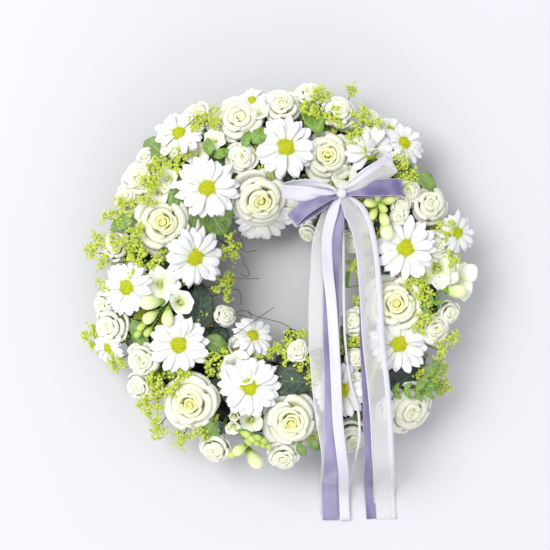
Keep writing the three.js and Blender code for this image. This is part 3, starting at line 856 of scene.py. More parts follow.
def make_freesia(name, hub, flowers):
    """A spray of funnel flowers and buds on one stem."""
    rng = random.Random(name)
    mesh = start_mesh()
    seats = []
    for x, y, width, lift, openness in flowers:
        matrix = seat(x, y, lift, rng.uniform(0, 2 * math.pi))
        seats.append(matrix)
        if openness == 0.0:
            continue
        for i in range(FREESIA_PETALS):
            inner = i % 2
            pose = Matrix.Rotation(2 * math.pi * i / FREESIA_PETALS + rng.uniform(-0.15, 0.15), 4, "Z")
            pose = pose @ Matrix.Rotation(rng.uniform(-0.15, 0.2), 4, "Y")
            pose = pose @ Matrix.Translation((0, 0, -0.04 * width * inner))
            petal = freesia_petal(width / 2, openness, rng)
            add_blade(mesh, 6, 10, petal, matrix @ pose, 0.1 + 0.3 * inner)
    if mesh.faces:
        thicken(mesh, FREESIA_THICKNESS)
    necks = []
    for matrix, (x, y, width, lift, openness) in zip(seats, flowers):
        if openness == 0.0:
            neck = add_bud(mesh, x, y, width, lift, hub)
        else:
            neck = matrix @ Vector((0, 0, 1 - funnel_depth(width / 2, openness)))
            for i in range(3):
                tip = matrix @ Matrix.Rotation(2.1 * i, 4, "Z") @ Vector((1.2, 0, -0.175 * width))
                add_rod(mesh, neck, tip, 0.5 * MM, 0.7 * MM, 5, 1)
        necks.append(neck)
    branch = seat(*hub, -8).translation
    foot = stem_foot(seats[0].translation, *flowers[0][:2])
    add_rod(mesh, necks[0], foot, 1.5 * MM, 1.6 * MM, 6, 2)
    if len(necks) > 1:
        add_rod(mesh, necks[0], branch, 1.3 * MM, 1.3 * MM, 6, 2)
    for neck in necks[1:]:
        add_rod(mesh, branch, neck, 1.3 * MM, 1.1 * MM, 6, 2)
    return add_piece(mesh, name, ["freesia", "bud", "stem"])


# ---------------------------------------------------------------- lady's mantle
# Each spray's clumps: x, y, width, lift
MANTLE = [
    [(-161, 18, 46, 3)],
    [(-214, 38, 26, -2), (-224, 28, 18, -6), (-203, 69, 16, -6), (-205, 18, 18, -4)],
    [(-144, -125, 28, 2), (-150, -151, 40, -4), (-144, -179, 26, -10)],
    [(184, -112, 26, -6), (190, -129, 24, -10), (181, -125, 22, -8)],
    [(-80, 182, 30, 4), (-98, 176, 22, 4), (-106, 148, 22, 2)],
    [(-144, 124, 30, 6), (-121, 136, 34, 4), (-150, 110, 24, 8), (-154, 92, 22, 8)],
    [(-184, 76, 34, 2), (-190, 41, 22, 6), (-167, 47, 30, 4)],
    [(-54, 32, 34, -6), (-63, -10, 38, -8)],
    [(-224, -74, 32, -14), (-190, -99, 26, -10), (-207, -8, 14, 2)],
    [(-115, -189, 24, -6), (-94, -185, 20, -4), (-115, -114, 26, 3), (-124, -131, 22, 4)],
    [(-75, -97, 44, -4)],
    [(-21, -94, 28, -6), (6, -85, 32, -4), (20, -68, 24, -6), (29, -97, 26, -4)],
    [(-12, 124, 30, -6), (35, 191, 24, 6), (46, 212, 24, 2), (84, 217, 18, -4)],
    [(61, 183, 24, 4), (94, 185, 26, 4), (86, 168, 22, 4), (84, 156, 14, 6), (113, 174, 18, 4)],
    [(140, 133, 24, 4), (150, 118, 30, 4)],
    [(190, 53, 24, 4), (201, 21, 22, 2)],
    [(150, -5, 24, 0), (164, -10, 24, 2), (167, -24, 22, 4), (169, -45, 20, 4), (163, -59, 18, 4)],
    [(201, -70, 20, -2), (186, -87, 22, -2), (89, -74, 24, -10), (86, 10, 24, -10)],
]
# A floret's width, and how far florets spread from their branch's tip.
FLORET_WIDTH = 3.6
TUFT = 2.9
# Low sprays that fill gaps: how many in a quarter of the ring, how far out, how wide, how low.
FILLER_SPRAYS = 40
FILLER_REACH = (92, 200)
FILLER_WIDTH = (13, 20)
FILLER_LIFT = -9


def add_floret(mesh, matrix, size, material):
    """A tiny four-pointed star, thick in the middle."""
    made = bmesh.ops.create_cone(
        mesh, cap_ends=True, cap_tris=False, segments=8, radius1=size, radius2=0.25 * size,
        depth=0.6 * size,
    )
    for vert in made["verts"]:
        corner = round(math.atan2(vert.co.y, vert.co.x) / (math.pi / 4))
        if math.hypot(vert.co.x, vert.co.y) < 0.5 * size:
            continue
        if corner % 2:
            vert.co.x *= 0.5
            vert.co.y *= 0.5
        else:
            vert.co.z += 0.5 * size
    bmesh.ops.transform(mesh, matrix=matrix, verts=made["verts"])
    add_solid(mesh, made["verts"], material, smooth=False)


def add_clump(mesh, x, y, width, lift, cover, rng):
    """One branching spray of tiny lime stars, as wide as width, that covers that share."""
    matrix = seat(x, y, lift, rng.uniform(0, 2 * math.pi), 0.8)
    part = start_mesh()
    root = matrix @ Vector((0, 0, -0.7 * width))
    foot = stem_foot(matrix.translation, x, y)
    add_rod(part, root, foot, 0.7 * MM, 0.9 * MM, 5, 1)
    branches = max(3, round(width / 5))
    florets = round(cover * (width / FLORET_WIDTH) ** 2 / branches)
    for branch in range(branches):
        angle = 2.4 * branch + rng.uniform(-0.4, 0.4)
        rho = 0.45 * width * math.sqrt((branch + 0.4) / branches)
        tip = Vector((rho * math.cos(angle), rho * math.sin(angle), rng.uniform(-3, 1)))
        tip.z -= 0.3 * rho
        add_rod(part, root, matrix @ tip, 0.35 * MM, 0.22 * MM, 4, 1)
        for _ in range(florets):
            near = Vector((rng.gauss(0, 1), rng.gauss(0, 1), rng.gauss(0, 0.6))) * TUFT
            face = (near + Vector((0, 0, 4))).to_track_quat("Z", "Y").to_matrix().to_4x4()
            turn = Matrix.Rotation(rng.uniform(0, 1.6), 4, "Z")
            at = matrix @ Matrix.Translation(tip + near) @ face @ turn
            add_floret(part, at, rng.uniform(1.9, 2.7), 0)
    merge(mesh, part)


def make_mantle(name, clumps, cover):
    """Lady's mantle: sprays of tiny lime stars."""
    rng = random.Random(name)
    mesh = start_mesh()
    for x, y, width, lift in clumps:
        add_clump(mesh, x, y, width, lift, cover, rng)
    return add_piece(mesh, name, ["mantle", "stem"])


def make_filler(name, first, last, cover):
    """Low sprays between two compass bearings, deep between the heads."""
    rng = random.Random(name)
    mesh = start_mesh()
    for _ in range(FILLER_SPRAYS):
        angle = math.radians(rng.uniform(first, last))
        rho = rng.uniform(*FILLER_REACH)
        lift = FILLER_LIFT * (1 + abs(rho - RING_RADIUS) / 55)
        spot = (rho * math.cos(angle), rho * math.sin(angle))
        add_clump(mesh, *spot, rng.uniform(*FILLER_WIDTH), lift, cover, rng)
    return add_piece(mesh, name, ["mantle", "stem"])


# ---------------------------------------------------------------- leaves and twigs
LEAF_THICKNESS = 0.5
# name, x and y of the middle, length, width, compass of the tip, lift, droop, teeth, look
LEAVES = [
    ("leaf_broad", -88, 84, 96, 76, -55, -13, 8, 22, "bright_leaf"),
    ("leaf_ivy", -92, -35, 60, 36, 80, -14, 4, 5, "dark_leaf"),
    ("leaf_long", 3, -121, 76, 36, 178, -12, 6, 12, "dark_leaf"),
    ("leaf_rolled", 150, -116, 60, 42, 30, -16, 10, 9, "deep_leaf"),
    ("leaf_top_left", -146, 150, 44, 26, 140, -8, 6, 7, "bright_leaf"),
    ("leaf_upper_1", -82, 149, 22, 13, 100, 2, 3, 5, "sprig_leaf"),
    ("leaf_upper_2", -67, 141, 22, 13, 20, -2, 3, 5, "sprig_leaf"),
    ("leaf_upper_3", -38, 158, 22, 12, 70, 0, 3, 4, "sprig_leaf"),
    ("leaf_upper_4", -23, 162, 26, 18, 45, 0, 3, 5, "sprig_leaf"),
    ("leaf_upper_5", 35, 189, 58, 26, 110, -4, 5, 5, "sprig_leaf"),
    ("leaf_right_1", 170, 108, 32, 20, -30, 2, 5, 6, "bright_leaf"),
    ("leaf_left_1", -184, 60, 34, 18, 200, -2, 4, 5, "bright_leaf"),
    ("leaf_left_2", -161, -68, 40, 18, -60, -4, 4, 5, "bright_leaf"),
    ("leaf_inner_1", -72, -79, 34, 22, -20, -8, 4, 6, "bright_leaf"),
    ("leaf_inner_2", 14, -71, 34, 20, 100, -10, 4, 6, "dark_leaf"),
    ("leaf_right_2", 160, -30, 34, 16, 60, -8, 3, 5, "bright_leaf"),
    ("leaf_mid_1", 78, -2, 24, 9, 80, -10, 2, 3, "bright_leaf"),
    ("leaf_low_1", 25, -202, 22, 12, -70, -6, 3, 4, "bright_leaf"),
    ("leaf_low_2", 41, -196, 22, 12, -50, -6, 3, 4, "bright_leaf"),
    ("leaf_low_3", -35, -184, 30, 14, -30, 2, 3, 5, "bright_leaf"),
    ("leaf_low_4", -80, -180, 36, 20, -70, -10, 3, 5, "bright_leaf"),
    ("leaf_far_1", 132, -10, 40, 22, 100, -16, 3, 5, "dark_leaf"),
    ("leaf_far_2", 150, 0, 40, 24, 20, -16, 3, 5, "dark_leaf"),
]
# Sprigs of small leaves: name, stem points as x, y, lift, and a leaf's length.
SPRIGS = [
    ("sprig_lower_right", [(160, -134, -6), (171, -124, -3), (182, -108, -2), (186, -96, -2)], 15),
    ("sprig_lower_right_2", [(130, -134, -4), (150, -131, -2), (168, -134, -2), (190, -128, -4)], 14),
    ("sprig_box", [(164, -38, 0), (174, -34, 3), (182, -20, 2)], 13),
]
# Low leaves between the heads: name, how many, look; then how far out, how long, how low.
UNDERLAYS = [("leaves_below_dark", 64, "dark_leaf"), ("leaves_below_bright", 44, "bright_leaf")]
UNDERLAY_REACH = (104, 186)
UNDERLAY_LENGTH = (30, 42)
UNDERLAY_LIFT = -19
# Leaves that hang over the ring's outer and inner walls: wall, how many, radius, height of the
# stalk, length, look; then how far they swing aside and stand off the wall, in radians.
SKIRTS = [
    ("outer", 54, 182, 43, 34, "bright_leaf"), ("outer_low", 48, 183, 33, 24, "dark_leaf"),
    ("inner", 30, 109, 42, 30, "dark_leaf"),
]
SKIRT_SWING = 0.9
SKIRT_STAND_OFF = (0.28, 0.5)


def leaf_shape(length, width, droop, teeth, fold=0.16, curl=0.0):
    """A leaf blade along +X from its stalk, with a folded midrib and a toothed edge."""

    def shape(a, t):
        outline = math.sin(math.pi * clamp(t, 0.002, 0.998) ** 0.78) ** 0.72
        tooth = 1 - 0.10 * ((t * teeth) % 1.0) * (abs(a) > 0.95)
        wide = width / 2 * outline * tooth
        ripple = 0.02 * length * math.sin(2 * math.pi * t * 2.2 + 2 * a) * abs(a)
        rise = fold * abs(a) * wide + ripple - droop * 4 * (t - 0.4) ** 2 - curl * a * a * wide
        return length * (t - 0.5), a * wide, rise

    return shape


def aim(x, y, lift, compass, tilt=0.0):
    """The matrix of a leaf whose +X points to a compass bearing and whose face leans as the bed."""
    flat = seat(x, y, lift)
    facing = (flat.to_quaternion() @ Vector((0, 0, 1))).normalized()
    level = heading(math.radians(compass))
    ahead = (level - facing * level.dot(facing)).normalized()
    turn = Matrix((ahead, facing.cross(ahead), facing)).transposed().to_4x4()
    at = Matrix.Translation(flat.translation) @ turn @ Matrix.Scale(MM, 4)
    return at @ Matrix.Rotation(tilt, 4, "Y")


def make_leaf(name, x, y, length, width, compass, lift, droop, teeth, look):
    """One leaf on its stalk."""
    mesh = start_mesh()
    matrix = aim(x, y, lift, compass)
    curl = 0.5 if name == "leaf_rolled" else 0.0
    shape = leaf_shape(length, width, droop, teeth, curl=curl)
    add_blade(mesh, 8, max(12, teeth * 2), shape, matrix)
    thicken(mesh, LEAF_THICKNESS)
    base = matrix @ Vector((-0.48 * length, 0, -0.8 * droop))
    add_rod(mesh, base, stem_foot(matrix.translation, x, y), 0.9 * MM, 1.2 * MM, 6, 1)
    return add_piece(mesh, name, [look, "stem"])


def make_sprig(name, points, leaf_length):
    """A thin stem with pairs of small oval leaves."""
    rng = random.Random(name)
    mesh = start_mesh()
    route = [place(x, y, bed_height(x, y) + lift) for x, y, lift in points]
    route, _ = smooth_route(route, 12 * MM)
    for start, end in zip(route, route[1:]):
        forward = (end - start).normalized()
        for side in (-1, 1):
            ahead = (forward + side * forward.cross(Vector((0, 0, 1))) * 1.1).normalized()
            ahead.z += rng.uniform(-0.1, 0.4)
            turn = ahead.to_track_quat("X", "Z").to_matrix().to_4x4()
            reach = leaf_length * rng.uniform(0.8, 1.15)
            matrix = Matrix.Translation(start) @ turn @ Matrix.Scale(MM, 4)
            matrix = matrix @ Matrix.Translation((0.5 * reach, 0, 0))
            add_blade(mesh, 4, 6, leaf_shape(reach, 0.48 * reach, 1.0, 1, 0.2), matrix)
    thicken(mesh, 0.9 * LEAF_THICKNESS)
    for start, end in zip(route, route[1:]):
        add_rod(mesh, start, end, 0.6 * MM, 0.55 * MM, 5, 1)
    foot = stem_foot(route[0], *points[0][:2])
    add_rod(mesh, route[0], foot, 0.6 * MM, 1.0 * MM, 5, 1)
    return add_piece(mesh, name, ["sprig_leaf", "stem"])


def make_underlay(name, count, look):
    """Leaves that lie low between the heads and hide the foam."""
    rng = random.Random(name)
    mesh = start_mesh()
    for i in range(count):
        angle = 2 * math.pi * (i + rng.uniform(-0.5, 0.5)) / count
        rho = rng.uniform(*UNDERLAY_REACH)
        size = rng.uniform(*UNDERLAY_LENGTH)
        spot = (rho * math.cos(angle), rho * math.sin(angle))
        matrix = aim(*spot, UNDERLAY_LIFT, rng.uniform(0, 360))
        add_blade(mesh, 4, 10, leaf_shape(size, 0.6 * size, 3.0, 5), matrix, rng.random())
    thicken(mesh, LEAF_THICKNESS)
    return add_piece(mesh, name, [look])


def make_skirt(wall, count, radius, height, length, look):
    """Leaves whose stalks are in a wall of the foam and whose blades hang down over it."""
    rng = random.Random(wall)
    mesh = start_mesh()
    outward = 1 if radius > RING_RADIUS else -1
    for i in range(count):
        angle = 2 * math.pi * (i + rng.uniform(-0.3, 0.3)) / count
        size = length * rng.uniform(0.85, 1.15)
        out = heading(angle) * outward
        swing = rng.uniform(-SKIRT_SWING, SKIRT_SWING)
        stand_off = rng.uniform(*SKIRT_STAND_OFF)
        level = heading(angle + math.pi / 2)
        down = level * math.sin(swing) - Vector((0, 0, 1)) * math.cos(swing)
        ahead = down * math.cos(stand_off) + out * math.sin(stand_off)
        side = out.cross(ahead).normalized()
        turn = Matrix((ahead, side, ahead.cross(side))).transposed().to_4x4()
        z = height + rng.uniform(-4, 4)
        stalk = Matrix.Translation(place(radius * math.cos(angle), radius * math.sin(angle), z))
        matrix = stalk @ turn @ Matrix.Scale(MM, 4) @ Matrix.Translation((0.5 * size, 0, 0))
        add_blade(mesh, 4, 10, leaf_shape(size, 0.62 * size, -2.0, 5), matrix, rng.random())
    thicken(mesh, LEAF_THICKNESS)
    return add_piece(mesh, "leaves_" + wall, [look])


# Dark twigs that curl over the ring's hole: points as x, y and height.
TWIGS = [
    [(-70, 66, 70), (-62, 56, 74), (-46, 44, 72), (-41, 30, 66)],
    [(-60, 50, 66), (-40, 28, 74), (-27, 30, 76)],
    [(-44, 24, 70), (-42, 14, 74), (-36, 5, 76), (-37, -1, 72), (-47, 3, 66)],
    [(-58, -2, 60), (-42, -3, 72), (-24, -3, 78)],
    [(-66, -20, 56), (-48, -16, 70), (-45, -32, 74)],
    [(-74, -80, 70), (-53, -68, 82), (-30, -52, 88), (-7, -36, 92)],
    [(-62, -50, 70), (-46, -45, 80), (-32, -50, 82), (-37, -39, 86)],
    [(-44, -40, 76), (-29, -46, 80), (6, -56, 82), (14, -63, 76)],
    [(-98, -66, 88), (-86, -58, 92), (-72, -54, 86)],
    [(-24, -104, 84), (-4, -106, 90), (17, -109, 92), (22, -105, 88)],
]
TWIG_RADIUS = 0.42


def make_twigs():
    """Fine dark twigs, each stuck in the foam or among the stems at its first point."""
    mesh = start_mesh()
    for points in TWIGS:
        x, y, _ = points[0]
        root = core_point(x, y, STEM_FOOT + 8)
        route, _ = smooth_route([place(*root)] + [place(*p) for p in points], 5 * MM)
        for start, end in zip(route, route[1:]):
            add_rod(mesh, start, end, TWIG_RADIUS * MM, TWIG_RADIUS * MM, 5, 0)
    return add_piece(mesh, "twigs", ["twig"])


# ---------------------------------------------------------------- ribbons
KNOT = Vector((70, 94, 114))
# name, width, painted shade of the face, material, points from the knot to the cut end, and the
# roll in degrees at even steps along it
TAILS = [
    ("tail_satin_white", 12, 0.0, "white_satin",
     [(68, 92, 114), (60, 72, 113), (54, 45, 104), (55, 10, 93), (59, -28, 90), (62, -75, 96),
      (64, -120, 106), (66, -165, 106), (70, -200, 102), (73, -223, 86), (74.5, -240, 50),
      (75.5, -251, 22), (76.5, -262, 8), (77, -272, 5), (78, -291, 4.8)],
     [0, 0]),
    ("tail_lavender_left", 20, 0.45, "lavender",
     [(70, 90, 111), (64, 68, 110), (59, 40, 101), (59, 5, 90), (59, -30, 87), (59, -75, 93),
      (60, -120, 103), (60, -165, 103.5), (60, -200, 99), (59.5, -221, 83), (59, -237.5, 47),
      (59, -248, 19), (59.5, -259, 6), (60, -269, 3), (60.5, -291, 2.8)],
     [0, 0]),
    ("tail_organza_left", 26, 0.0, "organza",
     [(68, 87, 108), (58, 64, 107), (50, 38, 98), (48, 5, 87), (46, -30, 84), (46, -75, 90),
      (49, -120, 100), (54, -165, 100.5), (60, -200, 95.5), (61, -218.5, 80), (61, -234.5, 45),
      (61, -245, 17), (61, -256, 4), (61, -266, 1), (61, -284, 0.8)],
     [0, 0]),
    ("tail_organza_right", 26, 0.0, "organza",
     [(72, 90, 114), (82, 78, 113), (92, 60, 110), (99, 30, 108), (104, -25, 106), (107, -75, 105),
      (112, -120, 105), (116, -165, 103), (118, -200, 97), (120, -220, 82), (122, -236, 47),
      (123.5, -247, 19), (124.5, -258, 5), (125.5, -268, 1.2), (127, -291, 0.8)],
     [0, 0]),
    ("tail_lavender_right", 12, 0.75, "lavender",
     [(74, 87, 110), (82, 68, 107), (89, 41, 101), (93, -5, 98), (94.3, -51, 98), (97, -120, 98),
      (99, -143, 98), (101.8, -189, 93), (103, -213, 80), (104.5, -232, 48), (105.5, -243, 20),
      (106.5, -254, 5), (107.5, -264, 1.4), (109.5, -290, 1)],
     [20, 58, 58, 55, 40, 12, 0, 0]),
]
NARROW_ROUTE = [
    (71, 86, 106.5), (72, 66, 103), (72.5, 41, 96), (73.5, 5, 88), (73.6, -28, 86), (74.8, -74, 92),
    (80.5, -120, 96), (89.7, -154, 95), (91, -186, 92), (88, -206, 80), (86, -221, 55),
    (84.5, -232, 28), (83.5, -241, 10), (82.5, -250, 3.4), (81.5, -262, 1.8),
]
NARROW_WIDTH = 3
NARROW_ROLLS = [0, 25, -15, 20, 35, -10, 15, 0, 0, 0]
# name, compass of the start, how far the loop swings round in plan, length, width, height, tilt
# about its length, lift of the fold over the knot, painted shade of the face, side of an organza's
# band, material; angles in degrees
LOOPS = [
    ("loop_lavender_left", 196, 26, 60, 20, 13, 27, -3, 0.45, 1, "lavender"),
    ("loop_lavender_right", 10, -9, 66, 20, 10, -12, -2, 0.7, 1, "lavender"),
    ("loop_white_left", 172, 10, 64, 19, 17, -36, -4, 0.1, 1, "white_satin"),
    ("loop_white_right", 26, 10, 64, 24, 12, 20, -4, 0.0, -1, "organza"),
]
# A loop's ribbon over its length: out, round the fold and back.
RIBBON_THICKNESS = 0.25


def ribbon_shape(route, width_at, rolls, wave):
    """A strip along an evenly spaced route, rolled about it and waved off it."""
    last = len(route) - 1
    tangents = [
        (route[min(i + 1, last)] - route[max(i - 1, 0)]).normalized() for i in range(last + 1)
    ]

    def shape(a, t):
        position = clamp(t) * last
        low = min(int(position), last - 1)
        rest = position - low
        tangent = tangents[low].lerp(tangents[low + 1], rest).normalized()
        side = tangent.cross(Vector((0, 0, 1))).normalized()
        side = Matrix.Rotation(math.radians(along_list(rolls, t)), 3, tangent) @ side
        normal = side.cross(tangent)
        point = route[low].lerp(route[low + 1], rest)
        return point + side * (a * width_at(t) / 2) + normal * wave(a, t)

    return shape


def add_ribbon(mesh, name, material):
    """Makes a ribbon's piece of a mesh that has no thickness yet."""
    thicken(mesh, RIBBON_THICKNESS)
    return add_piece(mesh, name, [material])


# How high a tail waves, and one edge against the other, each with its wavelength over 2 pi.
TAIL_WAVE = (0.7, 21)
TAIL_TWIST = (0.5, 33)


def make_tail(name, width, painted_shade, material, points, rolls):
    """One ribbon tail, gathered at the knot and free to wave between its ends."""
    route, length = smooth_route(points)
    phase = random.Random(name).uniform(0, 6)

    def wave(a, t):
        free = clamp((0.96 - t) * 12) * clamp(t * 6)
        whole = TAIL_WAVE[0] * math.sin(length * t / TAIL_WAVE[1] + phase)
        edge = TAIL_TWIST[0] * a * math.sin(length * t / TAIL_TWIST[1])
        return free * (whole + edge)

    shape = ribbon_shape(route, lambda t: width * min(1.0, 0.45 + 12 * t), rolls, wave)
    mesh = start_mesh()
    add_blade(mesh, 8, max(12, round(length / 5)), shape, TO_FRAME, painted_shade, band_side=-1)
    piece = add_ribbon(mesh, name, material)


def loop_shape(compass, swing, length, width, height, tilt, lift):
    """A bow loop: from the knot along its upper side, round the fold and back below."""
    start, swing = math.radians(compass), math.radians(swing)

    def shape(a, t):
        around = math.pi * (2 * t - 1)
        share = 0.5 + 0.5 * math.cos(around)
        reach = length * share
        ahead = heading(start + swing * share)
        lean = Matrix.Rotation(math.radians(tilt), 3, ahead)
        up = lean @ Vector((0, 0, 1))
        side = lean @ ahead.cross(Vector((0, 0, 1)))
        spot = heading(start + swing * share / 2) * (4 + reach)
        belly = math.sin(around) * math.sin(math.pi * clamp(share, 0.02, 1.0) ** 0.75) ** 0.6
        fold = math.copysign(math.sqrt(max(0.0, 1 - share ** 6)), math.sin(around))
        rise = -height / 2 * (0.55 * belly + 0.45 * fold * min(1, reach / 8))
        gather = clamp(1 - share / 0.55)
        wide = width / 2 * (1 - 0.55 * gather ** 1.2)
        pleat = 1.6 * gather * math.sin(6.5 * a) + 0.9 * math.sin(2.2 * a + reach / 13)
        point = KNOT + spot + up * (rise + pleat) + side * (a * wide)
        return point + Vector((0, 0, lift * share ** 2))

    return shape


def make_loop(name, compass, swing, length, width, height, tilt, lift, painted_shade, band_side, material):
    """One loop of the bow."""
    shape = loop_shape(compass, swing, length, width, height, tilt, lift)
    mesh = start_mesh()
    add_blade(mesh, 10, 48, shape, TO_FRAME, painted_shade, band_side=band_side)
    piece = add_ribbon(mesh, name, material)


def make_knot():
    """The knot: a short tuck of satin round the gathered ribbons, with creases."""
    mesh = start_mesh()
    low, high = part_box("bow_knot")
    middle = (low + high) / 2
    body = Matrix.Translation(middle) @ Matrix.Diagonal(((high - low) / 2).to_4d())
    for vert in add_ball(mesh, body, 24, 16, 0):
        offset = vert.co - middle
        crease = 0.94 + 0.05 * math.cos(9 * math.atan2(offset.z, offset.x))
        vert.co = middle + offset * crease
    add_piece(mesh, "bow_knot", ["white_satin"])


def make_narrow():
    """The narrow ribbon, a flat cord that twists as it hangs."""
    route, length = smooth_route(NARROW_ROUTE, 3.0)
    shape = ribbon_shape(route, lambda t: NARROW_WIDTH, NARROW_ROLLS, lambda a, t: 0.0)
    mesh = start_mesh()
    add_blade(mesh, 2, len(route) - 1, shape, TO_FRAME)
    thicken(mesh, 0.3)
    piece = add_piece(mesh, "tail_narrow_white", ["white_satin"])


# ---------------------------------------------------------------- carried-over solids
def dress_frame():
    """The tray, the foam and the pick keep their shapes and get their materials."""
    for node, key in (("tray_ring", "tray"), ("foam_ring", "foam"), ("bow_pick", "wood")):
        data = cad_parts[node].data
        data.materials.clear()
        data.materials.append(MATERIALS[key])


# ---------------------------------------------------------------- add-on
class WreathLook(bpy.types.PropertyGroup):
    """Amounts that a user would change."""

    floret_cover: bpy.props.FloatProperty(
        name="Floret cover", description="Share of a lady's mantle spray that its florets cover",
        default=1.7, min=0.2, max=3.0, subtype="FACTOR",
    )
    daisy_petals: bpy.props.IntProperty(
        name="Daisy petals", description="Petals in the outer row of a daisy",
        default=17, min=8, max=24,
    )
    camera_height: bpy.props.FloatProperty(
        name="Camera height", description="Height of the camera above the floor",
        default=2.4, min=1.0, max=5.0, subtype="DISTANCE", unit="LENGTH",
    )
    key_power: bpy.props.FloatProperty(
        name="Key light", description="Power of the large light at the upper left",
        default=345.0, min=0.0, max=2000.0, unit="POWER",
    )
    fill_power: bpy.props.FloatProperty(
        name="Fill light", description="Power of the low light on the ribbon's side",
        default=45.0, min=0.0, max=2000.0, unit="POWER",
    )
    sky_strength: bpy.props.FloatProperty(
        name="Sky", description="Brightness of the even light from all round",
        default=0.80, min=0.0, max=3.0,
    )


class WREATH_OT_stage(bpy.types.Operator):
    """Adds the floor, the lights and the camera"""

    bl_idname = "wreath.stage"
    bl_label = "Stage"

    def execute(self, context):
        make_stage(context.scene)
        return {"FINISHED"}


class WREATH_OT_ribbons(bpy.types.Operator):
    """Makes the bow and the ribbon tails"""

    bl_idname = "wreath.ribbons"
    bl_label = "Bow and tails"

    def execute(self, context):
        make_narrow()
        for tail in TAILS:
            make_tail(*tail)
        for loop in LOOPS:
            make_loop(*loop)
        make_knot()
        return {"FINISHED"}


class WREATH_OT_roses(bpy.types.Operator):
    """Makes the large roses, the small roses and the rosebuds"""

    bl_idname = "wreath.roses"
    bl_label = "Roses"

    def execute(self, context):
        for number, rose in enumerate(LARGE_ROSES, 1):
            make_rose(f"rose_large_{number}", *rose, OPEN, grid=(8, 12), warmth=1.0)
        for number, rose in enumerate(SMALL_ROSES, 1):
            make_rose(f"rose_small_{number}", *rose, grid=(7, 10), warmth=0.5)
        return {"FINISHED"}


class WREATH_OT_daisies(bpy.types.Operator):
    """Makes the daisies"""

    bl_idname = "wreath.daisies"
    bl_label = "Daisies"

    def execute(self, context):
        petals = context.scene.wreath_look.daisy_petals
        for label, daisies in (("daisy", DAISIES), ("daisy_inner", INNER_DAISIES)):
            for number, daisy in enumerate(daisies, 1):
                make_daisy(f"{label}_{number}", *daisy, petals)
        return {"FINISHED"}


class WREATH_OT_freesias(bpy.types.Operator):
    """Makes the freesia flowers and buds"""

    bl_idname = "wreath.freesias"
    bl_label = "Freesias"

    def execute(self, context):
        for name, (hub, flowers) in FREESIAS.items():
            make_freesia(name, hub, flowers)
        return {"FINISHED"}


class WREATH_OT_mantle(bpy.types.Operator):
    """Makes the lady's mantle"""

    bl_idname = "wreath.mantle"
    bl_label = "Lady's mantle"

    def execute(self, context):
        cover = context.scene.wreath_look.floret_cover
        for number, clumps in enumerate(MANTLE, 1):
            make_mantle(f"ladys_mantle_{number}", clumps, cover)
        for quarter in range(4):
            make_filler(f"filler_{quarter + 1}", 90 * quarter, 90 * quarter + 90, cover)
        return {"FINISHED"}


class WREATH_OT_leaves(bpy.types.Operator):
    """Makes the leaves, the sprigs and the twigs"""

    bl_idname = "wreath.leaves"
    bl_label = "Leaves and twigs"

    def execute(self, context):
        for leaf in LEAVES:
            make_leaf(*leaf)
        for sprig in SPRIGS:
            make_sprig(*sprig)
        for skirt in SKIRTS:
            make_skirt(*skirt)
        for underlay in UNDERLAYS:
            make_underlay(*underlay)
        make_twigs()
        return {"FINISHED"}


class WREATH_OT_base(bpy.types.Operator):
    """Gives the tray, the foam and the pick their materials"""

    bl_idname = "wreath.base"
    bl_label = "Tray and foam"

    def execute(self, context):
        dress_frame()
        return {"FINISHED"}


class WREATH_PT_panel(bpy.types.Panel):
    """The wreath's settings and its makers"""

    bl_idname = "WREATH_PT_panel"
    bl_label = "Funeral wreath"
    bl_space_type = "VIEW_3D"
    bl_region_type = "UI"
    bl_category = "Wreath"

    def draw(self, context):
        look = context.scene.wreath_look
        for name in WreathLook.__annotations__:
            self.layout.prop(look, name)
        for operator in OPERATORS:
            self.layout.operator(operator.bl_idname)


OPERATORS = (
    WREATH_OT_stage, WREATH_OT_ribbons, WREATH_OT_roses, WREATH_OT_daisies, WREATH_OT_freesias,
    WREATH_OT_mantle, WREATH_OT_leaves, WREATH_OT_base,
)
CLASSES = (WreathLook,) + OPERATORS + (WREATH_PT_panel,)

# Framing: the plane of the flower heads that the view spans, its middle and the sensor's width.
VIEW_PLANE = 90
VIEW_SPAN = 632.5
VIEW_MIDDLE = (-5.75, 1.15)
SENSOR = 36
FLOOR_SIZE = 6


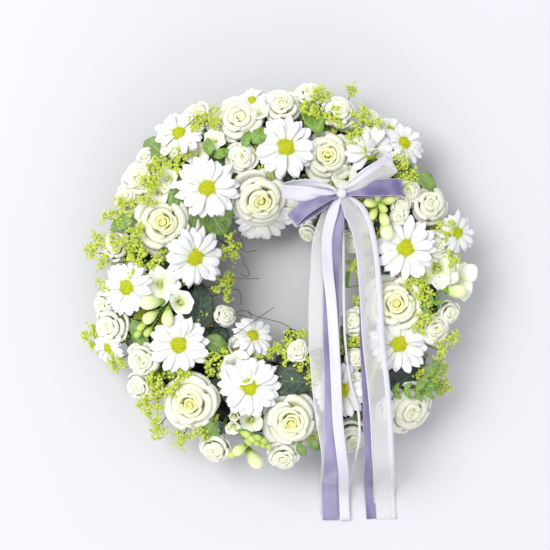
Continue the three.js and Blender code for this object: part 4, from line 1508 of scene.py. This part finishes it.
def add_area_light(scene, name, location, size, power):
    """A round, nearly white area light that points at the ring's middle."""
    lamp = bpy.data.lights.new(name, "AREA")
    lamp.shape = "DISK"
    lamp.size = size
    lamp.energy = power
    lamp.color = linear("#fffefb")[:3]
    holder = bpy.data.objects.new(name, lamp)
    holder.location = location
    toward = RING_MIDDLE - Vector(location)
    holder.rotation_euler = toward.to_track_quat("-Z", "Y").to_euler()
    scene.collection.objects.link(holder)


def add_floor(scene):
    """A plain pale floor."""
    mesh = bmesh.new()
    bmesh.ops.create_grid(mesh, x_segments=1, y_segments=1, size=FLOOR_SIZE)
    data = bpy.data.meshes.new("floor")
    mesh.to_mesh(data)
    mesh.free()
    material, tree = new_material("matt_white_board")
    board = add_node(tree, "BsdfPrincipled", {"Base Color": "#d5d6d9", "Roughness": 0.9})
    add_node(tree, "OutputMaterial", {"Surface": board})
    data.materials.append(material)
    floor = bpy.data.objects.new("floor", data)
    scene.collection.objects.link(floor)


def add_camera(scene, height):
    """A camera straight above, whose view spans the flower heads."""
    lens = bpy.data.cameras.new("camera")
    lens.sensor_width = SENSOR
    lens.lens = SENSOR * (height - VIEW_PLANE * MM) / (VIEW_SPAN * MM)
    camera = bpy.data.objects.new("camera", lens)
    camera.location = place(*VIEW_MIDDLE, 0) + Vector((0, 0, height))
    scene.collection.objects.link(camera)
    scene.camera = camera


def make_stage(scene):
    """The floor, a soft sky, a key light at the upper left, a fill light and the camera."""
    look = scene.wreath_look
    add_floor(scene)
    world = bpy.data.worlds.new("soft_studio")
    world.use_nodes = True
    backdrop = world.node_tree.nodes["Background"]
    backdrop.inputs["Color"].default_value = linear("#f5f5fd")
    backdrop.inputs["Strength"].default_value = look.sky_strength
    scene.world = world
    scene.view_settings.view_transform = "Standard"
    add_area_light(scene, "key", (-3.0, 2.0, 5.8), 4.4, look.key_power)
    add_area_light(scene, "fill", (0.6, -4.2, 2.2), 3.0, look.fill_power)
    add_camera(scene, look.camera_height)


def register():
    for cls in CLASSES:
        bpy.utils.register_class(cls)
    bpy.types.Scene.wreath_look = bpy.props.PointerProperty(type=WreathLook)


def unregister():
    del bpy.types.Scene.wreath_look
    for cls in reversed(CLASSES):
        bpy.utils.unregister_class(cls)


def main():
    register()
    make_materials()
    for operator in OPERATORS:
        group, name = operator.bl_idname.split(".")
        getattr(getattr(bpy.ops, group), name)()


if __name__ == "__main__":
    main()
